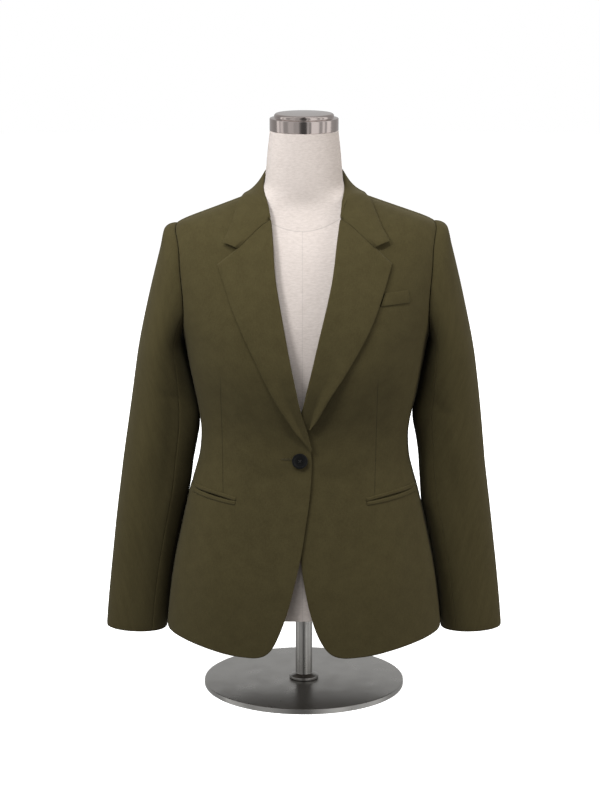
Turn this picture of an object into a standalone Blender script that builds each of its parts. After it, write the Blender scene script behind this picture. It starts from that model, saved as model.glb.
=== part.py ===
"""Suit jacket, one button, notched lapels, on a limbless dress form with a short stand.

Metres, +Z up, the front faces -Y, the wearer's left is +X. The origin is under the
stand's base plate. Tables give heights above the hem's own zero, which stands HEM_Z
above the floor. Every cloth wall is one open grid on the garment's surface, given its
thickness towards the form.
"""

import math

import bmesh
import bpy
import numpy as np
from mathutils import Vector

for old in list(bpy.data.objects):
    bpy.data.objects.remove(old, do_unlink=True)

HEM_Z = 0.065
WALL = 0.0015
LAPEL_WALL = 0.0013
SLEEVE_WALL = 0.0010
SEAM_GAP = 0.0003
BOXINESS = 2.4

# Body sections of the jacket: height, half width, depth to the front, depth to the back.
BODY = (
    (0.000, 0.2085, 0.1260, 0.1220),
    (0.028, 0.2060, 0.1255, 0.1225),
    (0.070, 0.2013, 0.1240, 0.1220),
    (0.107, 0.1965, 0.1225, 0.1210),
    (0.130, 0.1928, 0.1205, 0.1195),
    (0.177, 0.1835, 0.1150, 0.1140),
    (0.232, 0.1722, 0.1090, 0.1040),
    (0.262, 0.1637, 0.1060, 0.0970),
    (0.297, 0.1562, 0.1040, 0.0910),
    (0.326, 0.1545, 0.1050, 0.0890),
    (0.354, 0.1575, 0.1090, 0.0890),
    (0.380, 0.1622, 0.1150, 0.0910),
    (0.413, 0.1682, 0.1220, 0.0940),
    (0.447, 0.1745, 0.1250, 0.0980),
    (0.468, 0.1785, 0.1240, 0.1010),
    (0.490, 0.1850, 0.1220, 0.1030),
    (0.525, 0.1935, 0.1150, 0.1040),
    (0.560, 0.2000, 0.1050, 0.1020),
    (0.590, 0.2030, 0.0930, 0.0980),
    (0.612, 0.2015, 0.0820, 0.0940),
    (0.630, 0.1975, 0.0690, 0.0870),
    (0.640, 0.1900, 0.0610, 0.0820),
    (0.650, 0.1630, 0.0550, 0.0765),
    (0.660, 0.1350, 0.0470, 0.0710),
    (0.670, 0.1080, 0.0400, 0.0650),
    (0.678, 0.0860, 0.0350, 0.0600),
    (0.684, 0.0700, 0.0310, 0.0560),
)

# Sections of the dress form: height, half width, front, back, boxiness.
FORM = (
    (0.0645, 0.1880, 0.1100, 0.1100, 2.4),
    (0.1450, 0.1800, 0.1070, 0.1080, 2.4),
    (0.1900, 0.1700, 0.1020, 0.1010, 2.4),
    (0.2320, 0.1600, 0.0970, 0.0920, 2.4),
    (0.2620, 0.1510, 0.0940, 0.0850, 2.4),
    (0.2970, 0.1435, 0.0920, 0.0790, 2.4),
    (0.3260, 0.1420, 0.0930, 0.0770, 2.4),
    (0.3540, 0.1450, 0.0970, 0.0770, 2.4),
    (0.3800, 0.1500, 0.1030, 0.0790, 2.4),
    (0.4130, 0.1560, 0.1100, 0.0820, 2.4),
    (0.4470, 0.1620, 0.1130, 0.0860, 2.4),
    (0.4900, 0.1680, 0.1100, 0.0910, 2.4),
    (0.5250, 0.1720, 0.1030, 0.0920, 2.4),
    (0.5600, 0.1740, 0.0930, 0.0900, 2.4),
    (0.5900, 0.1740, 0.0820, 0.0850, 2.4),
    (0.6120, 0.1720, 0.0710, 0.0800, 2.4),
    (0.6300, 0.1670, 0.0590, 0.0755, 2.35),
    (0.6446, 0.1560, 0.0505, 0.0695, 2.3),
    (0.6543, 0.1400, 0.0455, 0.0655, 2.2),
    (0.6624, 0.1170, 0.0415, 0.0612, 2.1),
    (0.6694, 0.0955, 0.0395, 0.0575, 2.1),
    (0.6746, 0.0790, 0.0395, 0.0550, 2.05),
    (0.6796, 0.0670, 0.0410, 0.0535, 2.0),
    (0.6870, 0.0578, 0.0418, 0.0518, 2.0),
    (0.7100, 0.0558, 0.0425, 0.0500, 2.0),
    (0.7450, 0.0530, 0.0425, 0.0480, 2.0),
    (0.7723, 0.0498, 0.0425, 0.0460, 2.0),
)

# Where the centre front line stands at each height: height, x.
CENTRE_FRONT = (
    (0.000, -0.0045),
    (0.280, -0.0045),
    (0.400, -0.0070),
    (0.485, -0.0065),
    (0.515, -0.0055),
    (0.550, -0.0040),
    (0.600, -0.0028),
    (0.640, -0.0018),
    (0.690, 0.0000),
)

# The cloth hangs a little to the wearer's left at chest height: height, shift.
SWAY = (
    (0.280, 0.0000),
    (0.420, 0.0030),
    (0.640, 0.0030),
    (0.690, 0.0000),
)

# The wearer's left shoulder stands a little higher: rise per metre out, the heights it
# comes in over, and those it fades over above the collar.
TILT = 0.0080
TILT_IN = (0.500, 0.620)
TILT_OUT = (0.730, 0.768)

# The front's free edge, from the hem round the cutaway, up the roll line to the neck
# point: place along it, distance past the centre front on the wearer's right and left,
# height.
FRONT_EDGE = (
    (0.000, -0.0700, -0.0660, 0.0114),
    (0.020, -0.0590, -0.0530, 0.0130),
    (0.045, -0.0478, -0.0412, 0.0195),
    (0.070, -0.0392, -0.0318, 0.0317),
    (0.100, -0.0316, -0.0232, 0.0487),
    (0.150, -0.0203, -0.0133, 0.0800),
    (0.220, -0.0076, -0.0034, 0.1300),
    (0.265, -0.0008, 0.0004, 0.1600),
    (0.335, 0.0071, 0.0071, 0.2107),
    (0.400, 0.0132, 0.0132, 0.2557),
    (0.455, 0.0155, 0.0155, 0.2950),
    (0.490, 0.0137, 0.0137, 0.3234),
    (0.525, 0.0080, 0.0078, 0.3490),
    (0.565, -0.0022, -0.0030, 0.3820),
    (0.620, -0.0130, -0.0142, 0.4300),
    (0.685, -0.0243, -0.0262, 0.4850),
    (0.745, -0.0350, -0.0366, 0.5350),
    (0.790, -0.0428, -0.0436, 0.5740),
    (0.850, -0.0470, -0.0488, 0.6226),
    (0.880, -0.0496, -0.0528, 0.6480),
    (0.930, -0.0590, -0.0590, 0.6680),
    (0.965, -0.0655, -0.0655, 0.6780),
    (1.000, -0.0700, -0.0700, 0.6840),
)

# The armhole seam: turn from the shoulder by the front, angle round the body, height.
ARMHOLE = (
    (0.0, 90.0, 0.6400),
    (22.0, 77.9, 0.6355),
    (45.0, 66.8, 0.6200),
    (68.0, 62.3, 0.5920),
    (90.0, 62.6, 0.5560),
    (115.0, 66.0, 0.5180),
    (140.0, 74.0, 0.4900),
    (160.0, 85.0, 0.4755),
    (180.0, 97.0, 0.4705),
    (200.0, 108.0, 0.4755),
    (220.0, 116.5, 0.4900),
    (245.0, 121.5, 0.5180),
    (270.0, 122.5, 0.5520),
    (292.0, 121.5, 0.5880),
    (315.0, 114.5, 0.6180),
    (338.0, 102.0, 0.6350),
    (360.0, 90.0, 0.6400),
)
UNDERARM_TURN = 180.0
PRINCESS_TURN = 262.0
SIDE_SEAM = 97.0
PRINCESS_SEAM = 137.0
SIDE_HEM = 0.0320

# Where the front's rows meet the side seam (place, height) and then the armhole (place,
# turn), and how the front's hem rises from the cutaway to the side seam (share, height).
SIDE_OF_FRONT = (
    (0.000, SIDE_HEM),
    (0.100, 0.0600),
    (0.265, 0.1650),
    (0.455, 0.2970),
    (0.620, 0.4200),
    (0.685, 0.4705),
)
TURN_OF_FRONT = (
    (0.685, 180.0),
    (0.745, 140.0),
    (0.790, 100.0),
    (0.850, 62.0),
    (0.890, 45.0),
    (0.940, 22.0),
    (1.000, 0.0),
)
HEM = (
    (0.00, 0.0114),
    (0.10, 0.0127),
    (0.25, 0.0187),
    (0.45, 0.0260),
    (0.65, 0.0302),
    (1.00, SIDE_HEM),
)

# Lapel edge from the break to the point: height, distance out from the centre front on
# the wearer's right, and on the wearer's left.
LAPEL_EDGE = (
    (0.3260, -0.0095, -0.0095),
    (0.3411, 0.0022, 0.0030),
    (0.3697, 0.0191, 0.0236),
    (0.3977, 0.0355, 0.0370),
    (0.4354, 0.0555, 0.0608),
    (0.4775, 0.0755, 0.0848),
    (0.5050, 0.0890, 0.0980),
    (0.5460, 0.1068, 0.1125),
    (0.5885, 0.1234, 0.1253),
)

# The gorge seam and the lapel's top edge: share along it, distance out, height.
GORGE = (
    (0.00, 0.0512, 0.6482),
    (0.14, 0.0605, 0.6437),
    (0.33, 0.0745, 0.6320),
    (0.64, 0.0980, 0.6108),
    (1.00, 0.1243, 0.5885),
)

# The sleeve below its head: height, centre x, half width, centre y, half depth, and how
# far its inner side reaches in behind the body.
SLEEVE = (
    (0.0235, 0.2528, 0.0450, 0.0080, 0.0360, 0.0026),
    (0.0700, 0.2488, 0.0451, 0.0100, 0.0385, 0.0026),
    (0.1300, 0.2416, 0.0461, 0.0120, 0.0415, 0.0026),
    (0.2200, 0.2275, 0.0503, 0.0120, 0.0460, 0.0022),
    (0.2450, 0.2227, 0.0515, 0.0115, 0.0475, 0.0000),
    (0.2680, 0.2206, 0.0506, 0.0110, 0.0490, 0.0000),
    (0.2950, 0.2179, 0.0501, 0.0100, 0.0510, 0.0000),
    (0.3350, 0.2149, 0.0481, 0.0090, 0.0530, 0.0000),
    (0.3720, 0.2120, 0.0465, 0.0080, 0.0550, 0.0000),
    (0.3950, 0.2111, 0.0443, 0.0070, 0.0570, 0.0020),
    (0.4200, 0.2112, 0.0407, 0.0060, 0.0590, 0.0040),
    (0.4550, 0.2126, 0.0352, 0.0040, 0.0610, 0.0030),
)
TUCK_TURN = 202.0
TUCK_SPREAD = 24.0

# How the sleeve head leaves the armhole: turn, direction, first reach, last reach, lean.
HEAD = (
    (0.0, 1.00, 0.00, 0.22, 0.0195, 0.1200, -0.22),
    (45.0, 0.92, -0.28, -0.07, 0.0195, 0.0850, -0.19),
    (90.0, 0.75, -0.38, -0.50, 0.0165, 0.0400, -0.11),
    (135.0, 0.65, -0.20, -0.75, 0.0080, 0.0120, -0.03),
    (180.0, 0.60, 0.00, -0.80, 0.0040, 0.0040, 0.00),
    (225.0, 0.65, 0.20, -0.75, 0.0080, 0.0120, -0.03),
    (270.0, 0.75, 0.38, -0.50, 0.0165, 0.0400, -0.11),
    (315.0, 0.92, 0.28, -0.07, 0.0195, 0.0850, -0.19),
    (360.0, 1.00, 0.00, 0.22, 0.0195, 0.1200, -0.22),
)
FRONT_SLEEVE_SEAM = 124.0
HIND_SLEEVE_SEAM = 250.0

# The collar from the centre back (share 0) to its end: the neck seam x y z, then the
# inner side of the fold x y z, and the fold's radius.
COLLAR_FOLD = (
    (0.00, 0.0000, 0.0550, 0.6847, 0.0000, 0.0565, 0.7200, 0.0026),
    (0.12, 0.0360, 0.0495, 0.6847, 0.0290, 0.0520, 0.7190, 0.0026),
    (0.23, 0.0595, 0.0310, 0.6847, 0.0470, 0.0380, 0.7145, 0.0026),
    (0.34, 0.0680, 0.0040, 0.6852, 0.0566, 0.0160, 0.7035, 0.0026),
    (0.44, 0.0655, -0.0215, 0.6805, 0.0584, -0.0100, 0.6890, 0.0024),
    (0.53, 0.0578, -0.0405, 0.6690, 0.0528, -0.0375, 0.6720, 0.0018),
    (0.62, 0.0512, -0.0574, 0.6492, 0.0500, -0.0576, 0.6496, 0.0008),
)

# The collar's outer edge: share, distance out, height. It crosses the shoulder seam at
# EDGE_OVER_SHOULDER, from the back to the front.
COLLAR_EDGE = (
    (0.00, 0.0000, 0.6680),
    (0.12, 0.0340, 0.6672),
    (0.23, 0.0610, 0.6685),
    (0.34, 0.0795, 0.6735),
    (0.44, 0.0895, 0.6766),
    (0.53, 0.0950, 0.6712),
    (0.62, 0.0985, 0.6635),
    (0.70, 0.1021, 0.6555),
    (0.80, 0.1072, 0.6435),
    (0.90, 0.1131, 0.6310),
    (1.00, 0.1192, 0.6184),
)
EDGE_OVER_SHOULDER = 0.44
GORGE_START = 0.62

# Hip pocket welts: distance out, top of the upper welt, slit, foot of the lower welt.
HIP_POCKET = (
    (0.0955, 0.2484, 0.2426, 0.2368),
    (0.1200, 0.2530, 0.2464, 0.2396),
    (0.1330, 0.2548, 0.2480, 0.2410),
    (0.1480, 0.2563, 0.2494, 0.2424),
    (0.1630, 0.2566, 0.2504, 0.2436),
)

# Breast welt: distance out at its foot and its top, height of its foot and its top.
BREAST_WELT = (
    (0.1100, 0.1158, 0.5318, 0.5503),
    (0.1320, 0.1330, 0.5330, 0.5516),
    (0.1532, 0.1505, 0.5341, 0.5530),
)

BUTTON_Z = 0.3065
BUTTON_RADIUS = 0.0115
BUTTON_THICK = 0.0036
BASE_RADIUS = 0.150
BASE_THICK = 0.008
POST_RADIUS = 0.0125


def through(knots, values):
    """A smooth line through the values that never overshoots between them."""
    at = np.asarray(knots, float)
    value = np.asarray(values, float)
    step = np.diff(at)
    slope = np.diff(value) / step
    tangent = np.zeros_like(value)
    tangent[0], tangent[-1] = slope[0], slope[-1]
    before, after = slope[:-1], slope[1:]
    same = before * after > 0
    first = 2 * step[1:] + step[:-1]
    second = step[1:] + 2 * step[:-1]
    low = np.where(same, before, 1.0)
    high = np.where(same, after, 1.0)
    mean = (first + second) / (first / low + second / high)
    tangent[1:-1] = np.where(same, mean, 0.0)

    def line(t):
        t = np.clip(t, at[0], at[-1])
        k = np.clip(np.searchsorted(at, t, side="right") - 1, 0, len(step) - 1)
        s = (t - at[k]) / step[k]
        ends = (1 + 2 * s) * (1 - s) ** 2 * value[k] + s * s * (3 - 2 * s) * value[k + 1]
        turns = s * (1 - s) ** 2 * tangent[k] + s * s * (s - 1) * tangent[k + 1]
        return ends + step[k] * turns

    return line


def columns(table):
    """One smooth line for each column after the first."""
    rows = np.array(table, float)
    return [through(rows[:, 0], rows[:, k]) for k in range(1, rows.shape[1])]


half_width, front_depth, back_depth = columns(BODY)
form_width, form_front, form_back, form_boxiness = columns(FORM)
centre_front = columns(CENTRE_FRONT)[0]
edge_past_right, edge_past_left, edge_height = columns(FRONT_EDGE)
sway = columns(SWAY)[0]
armhole_angle, armhole_height = columns(ARMHOLE)
gorge_out, gorge_height = columns(GORGE)
sleeve_x, sleeve_width, sleeve_y, sleeve_depth, sleeve_tuck = columns(SLEEVE)


def smooth(low, high, value):
    """0 below low, 1 above high, and an even swing between them."""
    t = np.clip((value - low) / (high - low), 0.0, 1.0)
    return t * t * (3 - 2 * t)


def unit(vectors):
    return vectors / np.linalg.norm(vectors, axis=-1, keepdims=True)


def outward(points, depth_sign):
    """Distance from the jacket's surface and the way out of it, at points near it."""
    x, y, z = points[..., 0], points[..., 1], points[..., 2]
    step = 1e-4
    wide = half_width(z)
    wide_slope = (half_width(z + step) - half_width(z - step)) / (2 * step)
    front = depth_sign < 0
    deep = np.where(front, front_depth(z), back_depth(z))
    deep_slope = np.where(
        front,
        front_depth(z + step) - front_depth(z - step),
        back_depth(z + step) - back_depth(z - step),
    ) / (2 * step)
    a = np.abs(x) / wide
    b = np.abs(y) / deep
    reach = (a**BOXINESS + b**BOXINESS) ** (1 / BOXINESS)
    reach = np.maximum(reach, 1e-6)
    scale = reach ** (1 - BOXINESS)
    gx = scale * a ** (BOXINESS - 1) * np.sign(x) / wide
    gy = scale * b ** (BOXINESS - 1) * np.sign(y) / deep
    gz = -scale * (a**BOXINESS * wide_slope / wide + b**BOXINESS * deep_slope / deep)
    slope = np.stack([gx, gy, gz], -1)
    size = np.linalg.norm(slope, axis=-1)
    return (reach - 1) / size, slope / size[..., None]


def on_body(angle, z, lift=0.0):
    """Points of the jacket's outer face at angles from the centre front, and the normals."""
    angle, z = np.broadcast_arrays(np.asarray(angle, float), np.asarray(z, float))
    deep = np.where(np.abs(angle) < 90.0, front_depth(z), back_depth(z))
    s = np.sin(np.radians(angle))
    c = np.cos(np.radians(angle))
    x = half_width(z) * np.sign(s) * np.abs(s) ** (2 / BOXINESS)
    y = -deep * np.sign(c) * np.abs(c) ** (2 / BOXINESS)
    points = np.stack([x, y, z], -1)
    normals = outward(points, np.where(np.abs(angle) < 90.0, -1.0, 1.0))[1]
    return points + normals * np.asarray(lift, float)[..., None], normals


def angle_at(x, z):
    """The angle from the centre front of the front surface's point at x."""
    share = np.clip(np.abs(x) / half_width(z), 0.0, 1.0)
    return np.sign(x) * np.degrees(np.arcsin(share ** (BOXINESS / 2)))


def patch(left, right, bottom, top, rows, cols):
    """A grid of (angle, height) between four border lines that share their corners.

    rows is a number of even rows, or the places of uneven ones from 0 to 1.
    """
    v = (np.linspace(0, 1, rows) if np.ndim(rows) == 0 else rows)[:, None, None]
    u = np.linspace(0, 1, cols)[None, :, None]
    le, ri = left(v[:, 0, 0])[:, None], right(v[:, 0, 0])[:, None]
    bo, to = bottom(u[0, :, 0])[None], top(u[0, :, 0])[None]
    corners = (1 - u) * (1 - v) * bo[:, :1] + u * (1 - v) * bo[:, -1:]
    corners = corners + (1 - u) * v * to[:, :1] + u * v * to[:, -1:]
    return (1 - u) * le + u * ri + (1 - v) * bo + v * to - corners


def paired(angle, z):
    return np.stack(np.broadcast_arrays(angle, z), -1)


def material(name, colour, metallic, roughness):
    made = bpy.data.materials.new(name)
    made.use_nodes = True
    shader = made.node_tree.nodes["Principled BSDF"]
    shader.inputs["Base Color"].default_value = (*colour, 1.0)
    shader.inputs["Metallic"].default_value = metallic
    shader.inputs["Roughness"].default_value = roughness
    made.diffuse_color = (*colour, 1.0)
    return made


OLIVE = (0.075, 0.065, 0.033)
LINEN = (0.68, 0.64, 0.60)
STEEL = (0.62, 0.61, 0.60)
BLACK = (0.012, 0.012, 0.012)

jacket = bpy.data.collections.new("suit_jacket_on_dress_form")
bpy.context.scene.collection.children.link(jacket)


def add_object(name, mesh, colour, metallic=0.0, roughness=0.85):
    made = bpy.data.objects.new(name, mesh)
    made.data.materials.append(material(name + "_material", colour, metallic, roughness))
    jacket.objects.link(made)
    return made


def tilted(points):
    """The same points with the wearer's left shoulder raised and the right one lowered."""
    x, y, z = points[..., 0], points[..., 1], points[..., 2]
    amount = smooth(*TILT_IN, z) * (1 - smooth(*TILT_OUT, z))
    return np.stack([x, y, z + x * TILT * amount], -1)


def sheet(name, outer, inward, thick=WALL):
    """One cloth wall: a grid moved onto the outer points, then thickened inward."""
    rows, cols = outer.shape[:2]
    inner = (outer + unit(inward) * thick).reshape(-1, 3)
    outer = outer.reshape(-1, 3)
    aside = np.array([1.0, 0.0, 0.0]) * sway(outer[:, 2])[:, None]
    inner = tilted(inner + aside)
    outer = tilted(outer + aside)
    bm = bmesh.new()
    spot = bm.verts.layers.int.new("spot")
    bmesh.ops.create_grid(bm, x_segments=cols - 1, y_segments=rows - 1, size=1.0)
    for vert in bm.verts:
        row = round((vert.co.y + 1) / 2 * (rows - 1))
        col = round((vert.co.x + 1) / 2 * (cols - 1))
        vert[spot] = row * cols + col
    for vert in bm.verts:
        vert.co = Vector(outer[vert[spot]])
    grown = bmesh.ops.extrude_face_region(bm, geom=bm.faces[:])
    for vert in grown["geom"]:
        if isinstance(vert, bmesh.types.BMVert):
            vert.co = Vector(inner[vert[spot]])
    bmesh.ops.triangulate(bm, faces=bm.faces[:])
    bmesh.ops.recalc_face_normals(bm, faces=bm.faces[:])
    bmesh.ops.translate(bm, verts=bm.verts[:], vec=(0, 0, HEM_Z))
    mesh = bpy.data.meshes.new(name)
    bm.to_mesh(mesh)
    bm.free()
    mesh.shade_smooth()
    mesh.set_sharp_from_angle(angle=math.radians(40))
    return add_object(name, mesh, OLIVE)


def turned(name, profile, colour, metallic, roughness, steps=48):
    """A shape turned about its own Z from (radius, height) points down the outer side."""
    mesh = bpy.data.meshes.new(name)
    points = [(radius, 0.0, height) for radius, height in profile]
    mesh.from_pydata(points, [(k, k + 1) for k in range(len(points) - 1)], [])
    made = add_object(name, mesh, colour, metallic, roughness)
    screw = made.modifiers.new("Turn", "SCREW")
    screw.axis = "Z"
    screw.steps = steps
    screw.render_steps = steps
    screw.use_merge_vertices = True
    screw.merge_threshold = 0.00005
    return made


# --- fronts, wearer's left (+1) and right (-1) ------------------------------------------
# The right front lies on top, as it fastens, so it stands out a little near the centre.
OVER_LIFT = 0.0020
UNDER_LIFT = -0.0012


def overlap_lift(side, x, z):
    """How far a front stands out from the body's surface where the two overlap."""
    near = 1 - smooth(0.020, 0.075, np.abs(x - centre_front(z)))
    low = 1 - smooth(0.430, 0.530, z)
    return (OVER_LIFT if side < 0 else UNDER_LIFT) * near * low


def on_front(side, angle, z, lift=0.0):
    """Points on a front's outer face, with its overlap lift, and the normals."""
    plain, _ = on_body(angle, z)
    return on_body(angle, z, overlap_lift(side, plain[..., 0], plain[..., 2]) + lift)


def edge_point(side, v):
    z = edge_height(v)
    past = edge_past_left(v) if side > 0 else edge_past_right(v)
    return centre_front(z) - side * past, z


def front_grid(side, rows, cols):
    """(angle, height) of a front from its free edge to the side seam and armhole."""
    side_height, turn, hem = columns(SIDE_OF_FRONT)[0], columns(TURN_OF_FRONT)[0], columns(HEM)[0]

    def left(v):
        x, z = edge_point(side, v)
        angle = angle_at(x, z)
        return paired(np.where(v > 0.9999, side * 89.94, angle), z)

    def right(v):
        low = v <= TURN_OF_FRONT[0][0]
        angle = np.where(low, SIDE_SEAM - 0.08, armhole_angle(turn(v)))
        z = np.where(low, side_height(v), armhole_height(turn(v)))
        return paired(side * np.minimum(angle, 96.92), z) - paired(side * 0.06 * (v > 0.9999), 0)

    def bottom(u):
        start, end = left(np.array([0.0]))[0], right(np.array([0.0]))[0]
        angle = start[0] + (end[0] - start[0]) * u
        return paired(angle, hem(u))

    def top(u):
        return paired(side * 89.94, edge_height(1.0) + (armhole_height(0.0) - edge_height(1.0)) * u)

    return patch(left, right, bottom, top, rows, cols)


for side, name in ((1, "front_left"), (-1, "front_right")):
    grid = front_grid(side, 29, 12)
    points, normals = on_front(side, grid[..., 0], grid[..., 1])
    sheet(name, points, -normals)


# --- side backs and backs ----------------------------------------------------------------
def princess(v):
    """The back princess seam from the hem (0) to the armhole (1)."""
    z = SIDE_HEM + (armhole_height(PRINCESS_TURN) - SIDE_HEM) * v
    top = armhole_angle(PRINCESS_TURN)
    return top + (PRINCESS_SEAM - top) * (1 - np.clip(2 * v - 1, 0, 1) ** 2), z


SPLIT_ROW = 13


def side_back_grid(side, rows, cols):
    def left(v):
        return paired(side * (SIDE_SEAM + 0.08), SIDE_HEM + (armhole_height(UNDERARM_TURN) - SIDE_HEM) * v)

    def right(v):
        angle, z = princess(v)
        return paired(side * (angle - 0.09), z)

    def bottom(u):
        return paired(side * (SIDE_SEAM + 0.08 + (PRINCESS_SEAM - SIDE_SEAM - 0.17) * u), SIDE_HEM)

    def top(u):
        turn = UNDERARM_TURN + (PRINCESS_TURN - UNDERARM_TURN) * u
        angle = np.clip(armhole_angle(turn), SIDE_SEAM + 0.08, armhole_angle(PRINCESS_TURN) - 0.09)
        return paired(side * angle, armhole_height(turn))

    return patch(left, right, bottom, top, rows, cols)


def back_x(angle, z):
    """How far out the back surface's point at an angle stands."""
    return half_width(z) * np.sin(np.radians(angle)) ** (2 / BOXINESS)


def back_grid(side, rows, cols):
    split = SPLIT_ROW / (rows - 1)
    crown = edge_height(1.0)
    # Rows crowd towards the shoulder seam, where the cloth turns over most sharply.
    low_rows = np.linspace(0, split, SPLIT_ROW + 1)
    high_rows = split + (1 - split) * (1 - (1 - np.linspace(0, 1, rows - SPLIT_ROW)) ** 2)
    v_rows = np.concatenate([low_rows, high_rows[1:]])

    def left(v):
        seam, z = princess(np.clip(v / split, 0, 1))
        turn = PRINCESS_TURN + (360.0 - PRINCESS_TURN) * np.clip((v - split) / (1 - split), 0, 1)
        low = v < split
        angle = np.where(low, seam + 0.09, np.maximum(armhole_angle(turn), 90.06))
        z = np.where(low, z, armhole_height(turn))
        return paired(back_x(angle, z), z)

    def right(v):
        return paired(0.00015, SIDE_HEM + (crown - SIDE_HEM) * v)

    def bottom(u):
        start = back_x(PRINCESS_SEAM + 0.09, SIDE_HEM)
        return paired(start + (0.00015 - start) * u, SIDE_HEM)

    def top(u):
        # The shoulder seam, then the neckline.
        z = armhole_height(0.0) + (crown - armhole_height(0.0)) * np.clip(u / 0.64, 0, 1)
        seam = back_x(90.06, z)
        return paired(seam + (0.00015 - seam) * np.clip((u - 0.64) / 0.36, 0, 1), z)

    grid = patch(left, right, bottom, top, v_rows, cols)
    share = np.clip(grid[..., 0] / half_width(grid[..., 1]), 0, 1)
    angle = 180.0 - np.degrees(np.arcsin(share ** (BOXINESS / 2)))
    return paired(side * angle, grid[..., 1])


for side, name in ((1, "side_back_left"), (-1, "side_back_right")):
    grid = side_back_grid(side, SPLIT_ROW + 1, 6)
    points, normals = on_body(grid[..., 0], grid[..., 1])
    sheet(name, points, -normals)

for side, name in ((1, "back_left"), (-1, "back_right")):
    grid = back_grid(side, 22, 11)
    points, normals = on_body(grid[..., 0], grid[..., 1])
    sheet(name, points, -normals)


# --- lapels --------------------------------------------------------------------------------
LAPEL_LIFT = 0.0022
ROLL_RADIUS = 0.0026
LAPEL_FOOT = 0.3310
UNDER_LAPEL_FOOT = 0.3530


def lapel_edge(side, z):
    rows = np.array(LAPEL_EDGE)
    return through(rows[:, 0], rows[:, 2 if side > 0 else 1])(z)


def roll_x(side, z):
    rows = np.array(FRONT_EDGE)[11:20]
    return centre_front(z) - side * through(rows[:, 3], rows[:, 2 if side > 0 else 1])(z)


def lapel_grid(side, rows, cols):
    """(angle, height) over a lapel from its roll line to its edge."""
    foot = LAPEL_FOOT if side < 0 else UNDER_LAPEL_FOOT
    roll_top = gorge_height(0.0) - 0.0002
    tip = LAPEL_EDGE[-1][0]

    def left(v):
        z = foot + (roll_top - foot) * v
        x = roll_x(side, z)
        if side > 0:
            # The under lapel stops at the over front's roll line where it goes beneath it.
            x = np.maximum(x, roll_x(-1, z) + 0.0026)
        return paired(angle_at(x, z), z)

    def right(v):
        z = foot + 0.0012 + (tip - foot - 0.0012) * v
        out = lapel_edge(side, z)
        x = centre_front(z) + side * out
        if side > 0:
            x = np.maximum(x, roll_x(-1, z) + 0.0062)
        return paired(angle_at(x, z), z)

    def bottom(u):
        a, b = left(np.array([0.0]))[0], right(np.array([0.0]))[0]
        return a + (b - a) * u[:, None]

    def top(u):
        z = gorge_height(u) - 0.0002
        point = centre_front(tip) + side * lapel_edge(side, tip)
        x = side * gorge_out(u) + (point - side * gorge_out(1.0)) * smooth(0.64, 1.0, u)
        return paired(angle_at(x, z), z)

    return patch(left, right, bottom, top, rows, cols)


def lapel_points(side, rows, cols, turns):
    """The lapel's upper face: a small roll at the fold, then flat over the front."""
    grid = lapel_grid(side, rows, cols)
    flat, normals = on_front(side, grid[..., 0], grid[..., 1])
    across = flat - flat[:, :1]
    away = np.linalg.norm(across, axis=-1)
    width = away[:, -1]
    size = np.clip(width / 0.030, 0.60, 1.0)
    radius = ROLL_RADIUS * size
    ridge = (radius + 0.0012 * size)[:, None]
    rise = LAPEL_LIFT * np.clip(width / 0.012, 0.9, 1.0)[:, None]
    fall = np.exp(-((away / 0.012) ** 2))
    lift = rise + np.maximum(ridge - rise, 0) * fall
    face = flat + normals * lift[..., None]
    out = unit(across[:, 1])
    normal = normals[:, 0]
    # The over lapel's foot, and the under lapel where it passes beneath the over front,
    # lie flat with no fold.
    height = flat[:, 0, 2]
    own = np.abs(flat[:, 0, 0] - roll_x(side, height))
    tucked = smooth(0.0004, 0.0030, own) if side > 0 else 1 - smooth(0.336, 0.352, height)
    tucked = tucked[:, None]
    face = face - normals * (np.maximum(ridge - rise, 0) * fall * tucked)[..., None]
    curl, curl_out = [], []
    for step, angle in enumerate(np.radians(np.linspace(212, 105, turns))):
        way = np.cos(angle) * out + np.sin(angle) * normal
        centre = flat[:, 0] + normal * (0.0012 * size)[:, None] + out * 0.0003
        folded = centre + way * radius[:, None]
        level = flat[:, 0] + normal * rise + out * (0.0004 * (step - turns))
        curl.append(folded + (level - folded) * tucked)
        curl_out.append(unit(way + (normal - way) * tucked))
    folded = flat[:, 0] + normal * (0.0012 * size + radius)[:, None] + out * 0.0003
    level = flat[:, 0] + normal * rise
    centre_col = folded + (level - folded) * tucked
    columns_made = curl + [centre_col] + [face[:, k] for k in range(1, cols)]
    ways = curl_out + [normal] + [normals[:, k] for k in range(1, cols)]
    return np.stack(columns_made, 1), np.stack(ways, 1)


for side, name in ((1, "lapel_left"), (-1, "lapel_right")):
    points, ways = lapel_points(side, 19, 8, 4)
    sheet(name, points, -ways, LAPEL_WALL)


# --- collar ----------------------------------------------------------------------------------
COLLAR_LIFT = 0.0023


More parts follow.
